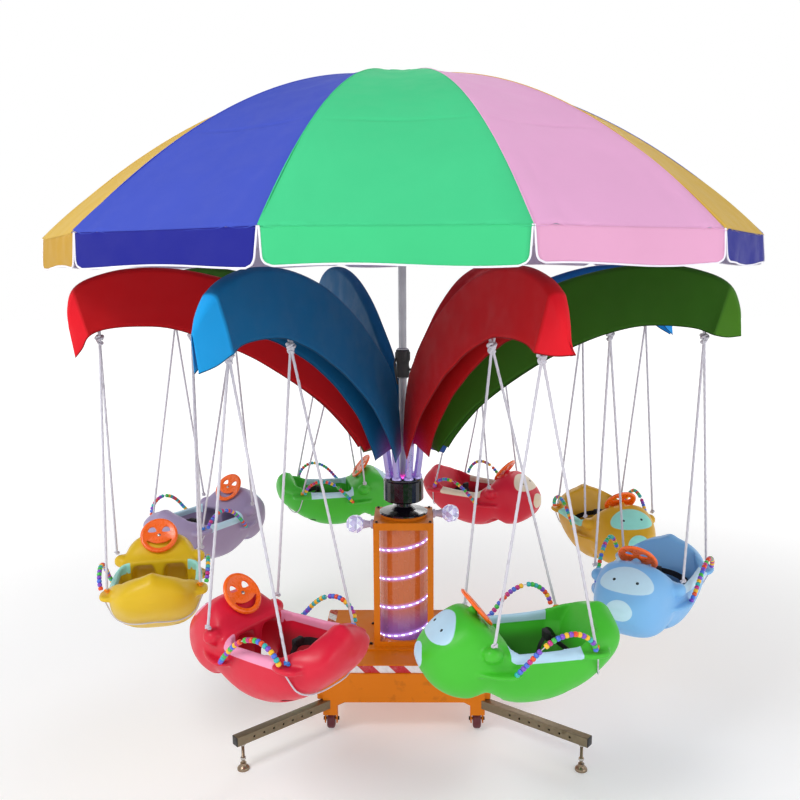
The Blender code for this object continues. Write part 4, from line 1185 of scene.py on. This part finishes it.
def build_ropes():
    """Each side's rope: a loop through the eye, two knots, and two legs to the seat."""
    for k in range(1, SEAT_COUNT + 1):
        rear_knot = knot_orange if k % 2 == 0 else knot_blue
        for side, name in ((1, "outer"), (-1, "inner")):
            hook_x = side * HOOK_X
            place = seat_matrix(k) @ shifted(hook_x, side * HANG_HALF, HOOK_Z)
            rope = Solid()
            loop = smooth_line([
                (0.004, 0, -KNOT_DROP), (0.010, 0, -0.150), (0.0145, 0, -0.060), (0.0135, 0, -0.016), (0.008, 0, -0.002),
                (0, 0, 0.0008), (-0.008, 0, -0.002), (-0.0135, 0, -0.016), (-0.0145, 0, -0.060), (-0.010, 0, -0.150),
                (-0.004, 0, -KNOT_DROP),
            ], 10)
            rope.add(sweep(even_line(loop, 0.005), ROPE_RADIUS, 9, strands=3))
            rope.add(knot(0.0105, 0.0055), 0, shifted(0, 0, -KNOT_DROP + 0.004))
            rope.add(knot(0.0085, 0.0050), 0, shifted(0, 0, -KNOT_DROP - 0.014) @ Matrix.Rotation(0.9, 4, "X"))
            for hole, slot in ((FRONT_HOLE, 0), (REAR_HOLE, 1)):
                end = (hole[0] - hook_x, 0, hole[1] - HOOK_Z)
                leg = even_line([(0, 0, -KNOT_DROP), end], 0.0060)
                rope.add(sweep(leg, ROPE_RADIUS * 0.92, 9, strands=3))
                rope.add(knot(0.0066, 0.0036), slot, Matrix.Translation(end) @ Matrix.Rotation(0.5, 4, "X"))
            body = "swing_%s_%d" % (name, k)
            whole = Solid()
            m = np.array(place)
            whole.points = [np.vstack(rope.points) @ m[:3, :3].T + m[:3, 3]]
            whole.faces, whole.slots = rope.faces, rope.slots
            piece = whole.build("rope_%s_set_%d" % (name, k), [rope_white, rear_knot], body)
            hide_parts("rope_%s_%d" % (name, k))


def build_steering_wheels():
    half = WHEEL_THICK / 2
    radius = WHEEL_RADIUS
    profile = [(0.006, -half * 0.55), (radius - 0.016, -half * 0.55), (radius - 0.010, -half), (radius - 0.004, -half * 0.8),
               (radius, -half * 0.2), (radius, half * 0.2), (radius - 0.004, half * 0.8), (radius - 0.009, half),
               (radius - 0.015, half * 0.7), (radius - 0.019, half * 0.5), (0.006, half * 0.5)]
    disc = turned(profile, 72)
    half_turn = np.linspace(0, math.pi, 15)
    cutters = []
    for side in (-1, 1):
        outline = [(0.018 + 0.023 * math.sin(a), side * 0.030 + 0.018 * math.cos(a)) for a in half_turn]
        outline += [(0.0145, side * 0.030 - 0.009), (0.0145, side * 0.030 + 0.009)]
        cutters.append(loft([[(x, y, z) for x, y in outline] for z in (-0.03, 0.03)]))
    arc = [(-0.060 * math.cos(a), 0.060 * math.sin(a)) for a in np.radians(np.linspace(-66, 66, 23))]
    lip = smooth_line([(-0.020, 0.050), (-0.029, 0.034), (-0.035, 0.016), (-0.036, 0.0), (-0.035, -0.016), (-0.029, -0.034),
                       (-0.020, -0.050)], 4)
    cutters.append(loft([[(x, y, z) for x, y in arc + [tuple(p) for p in lip]] for z in (-0.03, 0.03)]))
    wheel = carved(disc, cutters)
    obj = show("wheel_form", wheel, [], None)
    step = obj.modifiers.new("soft edges", "BEVEL")
    step.width = 0.0016
    step.segments = 3
    step.limit_method = "ANGLE"
    step.angle_limit = math.radians(50)
    form = mesh_shape(applied(obj))
    screw = turned([(0.0070, half * 0.5), (0.0070, half * 0.5 + 0.002), (0.0050, half * 0.5 + 0.0038)], 24)
    for k in range(1, SEAT_COUNT + 1):
        place = seat_matrix(k) @ wheel_matrix()
        whole = Solid().add(form, 0, place).add(screw, 1, place)
        piece = whole.build("toy_wheel_%d" % k, [wheel_orange, chrome], "wheel_%d" % k, sharp=45)
        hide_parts("steering_wheel_%d" % k)


# Column and base

def strip_point(turns, radius):
    angle = 2 * math.pi * turns - math.pi / 2
    return (radius * math.cos(angle), radius * math.sin(angle), STRIP_FRONT + STRIP_PITCH * turns)


def build_light_strip():
    """Strip of small lamps wound round the tube."""
    count = 22
    turns = np.arange(-0.30, 3.40, 1 / 96)
    strip = Solid()
    radius = TUBE_OUTER + 0.0009
    path = [strip_point(t, radius) for t in turns]
    rows = []
    for t, spot in zip(turns, path):
        out = np.array((spot[0], spot[1], 0)) / radius
        for r, z in ((-0.0006, -0.0048), (0.0006, -0.0044), (0.0006, 0.0044), (-0.0006, 0.0048)):
            rows.append(np.array(spot) + out * r + (0, 0, z))
    faces = grid_faces(len(path), 4, ring=True)
    strip.add((rows, faces + [(3, 2, 1, 0), tuple(range(len(rows) - 4, len(rows)))]), 0)
    lamp = block((-0.0004, -0.0065, -0.0028), (0.0010, 0.0065, 0.0028), 0.0005, 1)
    for i in range(int(3.7 * count)):
        t = -0.30 + (i + 0.5) / count
        spot = strip_point(t, TUBE_OUTER + 0.0013)
        angle = 2 * math.pi * t - math.pi / 2
        strip.add(lamp, 1, Matrix.Translation(spot) @ Matrix.Rotation(angle, 4, "Z"))
    strip.build("light_strip", [strip_body, strip_lamp], "base")


def build_lamps():
    for name, x, y, z, turn in (("left", -0.137, -0.085, 0.898, 180.0), ("right", 0.137, 0.060, 0.906, 0.0)):
        place = shifted(x, y, z) @ turned_z(turn) @ pointed((1, 0, 0))
        lamp = Solid()
        lamp.add(turned([(0.018, 0.0004), (0.022, 0.003), (0.021, 0.011), (0.015, 0.015), (0.017, 0.030), (0.022, 0.046)], 32), 1, place)
        rows = []
        for i in range(1, 7):
            polar = math.pi * i / 7
            for j in range(8):
                a = 2 * math.pi * (j + 0.5 * (i % 2)) / 8
                rows.append((0.043 * math.sin(polar) * math.cos(a), 0.043 * math.sin(polar) * math.sin(a), 0.084 - 0.043 * math.cos(polar)))
        faces = []
        for i in range(5):
            for j in range(8):
                a, b = i * 8 + j, i * 8 + (j + 1) % 8
                c, d = a + 8, b + 8
                if i % 2:
                    faces += [(a, b, c), (b, d, c)]
                else:
                    faces += [(a, d, c), (a, b, d)]
        faces.append(tuple(reversed(range(8))))
        faces.append(tuple(range(40, 48)))
        lamp.add((rows, faces), 0, place)
        # every few facets take the glint finish: painted glints on the crystal
        lamp.slots[-len(faces):] = [2 if n % 7 in (0, 3) else 0 for n in range(len(faces))]
        piece = lamp.build("lamp_%s" % name, [crystal, lamp_socket, crystal_glint], "base", sharp=4)
        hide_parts("crystal_lamp_%s" % name)


def build_tape():
    """Slanting red and white tape on the edges of the base."""
    bands = Solid()
    x, y = CHASSIS_X, CHASSIS_Y
    over = 0.0004
    for side in (-1, 1):
        front = (-x + 0.003, min(side * y, side * (y + over)), 0.2845), (x - 0.003, max(side * y, side * (y + over)), 0.3175)
        bands.add(block(*front, 0.0001, 1))
        edge = min(side * x, side * (x + over)), max(side * x, side * (x + over))
        for corner in (-1, 1):
            low, high = sorted((corner * (y - 0.005), corner * (y - 0.052)))
            bands.add(block((edge[0], low, 0.166), (edge[1], high, 0.316), 0.0001, 1))
        low, high = sorted((side * (x - 0.004), side * (x - 0.044)))
        bands.add(block((low, -y + 0.005, DECK_TOP), (high, y - 0.005, DECK_TOP + over), 0.0001, 1))
    bands.build("hazard_tape", [tape], "base")


def build_column_bolts():
    """Bolts in the corners of the column's top and on its foot plate."""
    bolts = Solid()
    for x in (-0.122, 0.122):
        for y in (-0.122, 0.122):
            # a darker orange disc round each top bolt: painted shadow
            bolts.add(turned([(0.009, 0), (0.009, 0.001), (0.0075, 0.0015)], 20), 1, shifted(x, y, COLUMN_TOP))
            bolts.add(turned([(0.0058, 0), (0.0058, 0.005), (0.0045, 0.006)], 6), 0, shifted(x, y, COLUMN_TOP + 0.0012))
    for x in (-0.153, 0.153):
        for y in (-0.115, 0.115):
            top = DECK_TOP + 0.0083
            bolts.add(turned([(0.0095, 0), (0.0095, 0.0012)], 24), 0, shifted(x, y, top))
            bolts.add(turned([(0.0072, 0), (0.0072, 0.0052), (0.0060, 0.0064)], 6), 0, shifted(x, y, top + 0.001))
    bolts.build("column_bolts", [bolt_steel, orange_dark], "base")


LEG_Z = 0.138
LEG_HALF = 0.020
LEG_ROOT = (0.238, 0.2153)
FOOT_X = {"left": 0.665, "right": 0.736}
FOOT_Y = 0.600


def outrigger_parts(foot_x):
    """Hollow square tube with adjusting holes and its end cap, with the matrix that places both."""
    run = Vector((foot_x - LEG_ROOT[0], FOOT_Y - LEG_ROOT[1], 0))
    length = run.length
    half = LEG_HALF
    bar = block((0, -half, -half), (length + 0.034, half, half), 0.003, 3)
    holes = []
    for i in range(7):
        at = length - 0.045 - i * 0.048
        pin = turned([(0.0048, -0.03), (0.0048, 0.03)], 16)
        sideways = Solid().add(pin, 0, shifted(at, 0, 0) @ Matrix.Rotation(math.pi / 2, 4, "X"))
        holes.append((np.vstack(sideways.points), sideways.faces))
    holes.append(block((0.02, -half + 0.0028, -half + 0.0028), (length + 0.05, half - 0.0028, half - 0.0028), 0))
    tube = mesh_shape(carved(bar, holes))
    cap = Solid()
    cap.add(block((length + 0.030, -half + 0.003, -half + 0.003), (length + 0.0355, half - 0.003, half - 0.003), 0.001))
    cap.add(block((length + 0.0338, -half + 0.0003, -half + 0.0003), (length + 0.0360, half - 0.0003, half - 0.0003), 0.0015))
    to_leg = shifted(*LEG_ROOT, LEG_Z) @ Matrix.Rotation(math.atan2(run.y, run.x), 4, "Z")
    return tube, (np.vstack(cap.points), cap.faces), to_leg


def build_outriggers():
    """Legs with their screw feet, nuts and pads."""
    parts = {side: outrigger_parts(foot_x) for side, foot_x in FOOT_X.items()}
    half = LEG_HALF
    thread = []
    z = 0.034
    while z < LEG_Z - half - 0.002:
        thread += [(0.0065, z), (0.0057, z + 0.0009)]
        z += 0.0018
    foot = [(0.0255, 0.0), (0.026, 0.002), (0.0255, 0.008), (0.0220, 0.013), (0.0150, 0.018), (0.0130, 0.022), (0.0130, 0.030), (0.0065, 0.033)]
    nut = turned([(0.0112, 0), (0.0120, 0.0012), (0.0120, 0.0088), (0.0112, 0.010)], 6)
    corners = {"front_left": (-1, -1), "front_right": (1, -1), "rear_left": (-1, 1), "rear_right": (1, 1)}
    for name, (sx, sy) in corners.items():
        flip = Matrix.Diagonal((sx, sy, 1, 1))
        side = name.split("_")[1]
        tube, cap, to_leg = parts[side]
        whole = Solid()
        whole.add(tube, 0, flip @ to_leg)
        whole.add(cap, 1, flip @ to_leg)
        spot = shifted(FOOT_X[side], FOOT_Y, 0)
        whole.add(turned(foot + thread, 32), 2, flip @ spot)
        whole.add(nut, 3, flip @ spot @ shifted(0, 0, LEG_Z - half - 0.0104))
        whole.add(nut, 3, flip @ spot @ shifted(0, 0, 0.044))
        piece = whole.build("outrigger_leg_%s" % name, [galvanised, black_plastic, bronze, chrome], "base")
        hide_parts("outrigger_" + name)
        build_caster(name, sx, sy)


def build_caster(name, sx, sy):
    radius, half = 0.043, 0.017
    profile = [(0.0075, -half), (0.020, -half), (0.023, -half + 0.003), (0.032, -half + 0.003), (0.036, -half), (0.0405, -half + 0.003),
               (0.043, -half + 0.008), (0.043, half - 0.008), (0.0405, half - 0.003), (0.036, half), (0.032, half - 0.003),
               (0.023, half - 0.003), (0.020, half), (0.0075, half)]
    place = shifted(sx * 0.328, sy * 0.272, radius + 0.004) @ pointed((1, 0, 0))
    whole = Solid().add(ring_solid(profile, 56), 0, place)
    for i in range(8):
        a = 2 * math.pi * i / 8
        spoke = block((0.023, -0.002, half - 0.004), (0.0325, 0.002, half - 0.0012), 0.0006, 1)
        for end in (0, 180):
            whole.add(spoke, 1, place @ Matrix.Rotation(math.radians(end), 4, "X") @ Matrix.Rotation(a, 4, "Z"))
    piece = whole.build("caster_tyre_" + name, [tread, hub_grey], "caster_" + name)
    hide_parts("caster_wheel_" + name)
    bolts = Solid()
    for end in (-1, 1):
        head = turned([(0.010, 0), (0.010, 0.001), (0.0082, 0.0012), (0.0082, 0.0055), (0.0070, 0.0065)], 6)
        bolts.add(head, 0, shifted(sx * 0.328 + end * 0.029, sy * 0.272, radius + 0.004) @ pointed((end, 0, 0)))
    bolts.build("caster_bolts_" + name, [bolt_steel], "base")


def build_base():
    dress("base_chassis", orange, 0.0015)
    dress("column_housing", orange, 0.0015)
    dress("light_tube", lit_tube)
    dress("bearing_flange", black_gloss)
    dress("hub_drum", black_gloss)
    build_light_strip()
    build_lamps()
    build_tape()
    build_column_bolts()
    build_outriggers()


# Stage, lights and camera

SKY_LIGHT = 0.35
FLOOR_WHITE = 0.80


def floor_material():
    """Pale floor that grows into the white of the backdrop far from the ride."""
    kit = Nodes("floor_white")
    kit.set("Base Color", kit.mix(kit.noise(1.5), (FLOOR_WHITE - 0.01,) * 3, (FLOOR_WHITE + 0.01,) * 3))
    kit.set("Roughness", 0.9)
    length = kit.tree.nodes.new("ShaderNodeVectorMath")
    length.operation = "LENGTH"
    kit.feed(length.inputs[0], kit.point)
    kit.set("Emission Color", (1.0, 1.0, 1.0))
    kit.set("Emission Strength", kit.spread(length.outputs["Value"], 1.2, 7.0, 0.26, 0.74))
    return kit.mat


def build_stage():
    mesh = bpy.data.meshes.new("studio_floor")
    size = 30.0
    mesh.from_pydata([(-size, -size, 0), (size, -size, 0), (size, size, 0), (-size, size, 0)], [], [(0, 1, 2, 3)])
    floor = bpy.data.objects.new("studio_floor", mesh)
    bpy.context.scene.collection.objects.link(floor)
    floor.location.z = -0.0005
    mesh.materials.append(floor_material())
    world = bpy.data.worlds.new("studio")
    bpy.context.scene.world = world
    world.use_nodes = True
    backdrop = world.node_tree.nodes["Background"]
    backdrop.inputs["Color"].default_value = (1.0, 1.0, 1.0, 1.0)
    links = world.node_tree.links
    direction = world.node_tree.nodes.new("ShaderNodeTexCoord")
    parts = world.node_tree.nodes.new("ShaderNodeSeparateXYZ")
    fade = world.node_tree.nodes.new("ShaderNodeMapRange")
    fade.inputs["From Min"].default_value = 0.38
    fade.inputs["From Max"].default_value = 0.60
    fade.inputs["To Min"].default_value = 1.0
    fade.inputs["To Max"].default_value = SKY_LIGHT
    links.new(direction.outputs["Generated"], parts.inputs[0])
    links.new(parts.outputs["Z"], fade.inputs["Value"])
    links.new(fade.outputs[0], backdrop.inputs["Strength"])
    for name, place, aim, size, power in (
        ("key", (-3.6, -4.4, 6.4), (0, 0, 1.0), 2.6, 230),
        ("fill", (4.6, -3.6, 3.0), (0, 0, 1.1), 3.0, 40),
        ("rear", (1.5, 5.0, 4.5), (0, 0, 1.3), 3.0, 60),
    ):
        light = bpy.data.lights.new(name, "AREA")
        light.size = size
        light.energy = power
        lamp = bpy.data.objects.new(name, light)
        bpy.context.scene.collection.objects.link(lamp)
        lamp.location = place
        lamp.rotation_euler = (Vector(aim) - Vector(place)).to_track_quat("-Z", "Y").to_euler()
    bpy.context.scene.view_settings.view_transform = "Standard"


def build_camera():
    data = bpy.data.cameras.new("photo_camera")
    data.sensor_width = 36.0
    data.lens = 36.0 * FOCAL_PIXELS / IMAGE_PIXELS
    camera = bpy.data.objects.new("photo_camera", data)
    bpy.context.scene.collection.objects.link(camera)
    turn = turned_z(EYE_YAW) @ Matrix.Rotation(math.radians(90 - EYE_PITCH), 4, "X") @ turned_z(EYE_ROLL)
    camera.matrix_world = Matrix.Translation(EYE) @ turn
    bpy.context.scene.camera = camera


build_camera()
build_stage()
build_base()
build_arms()
build_covers()
build_umbrella()
build_seats()
build_ropes()
build_steering_wheels()

bpy.context.view_layer.update()
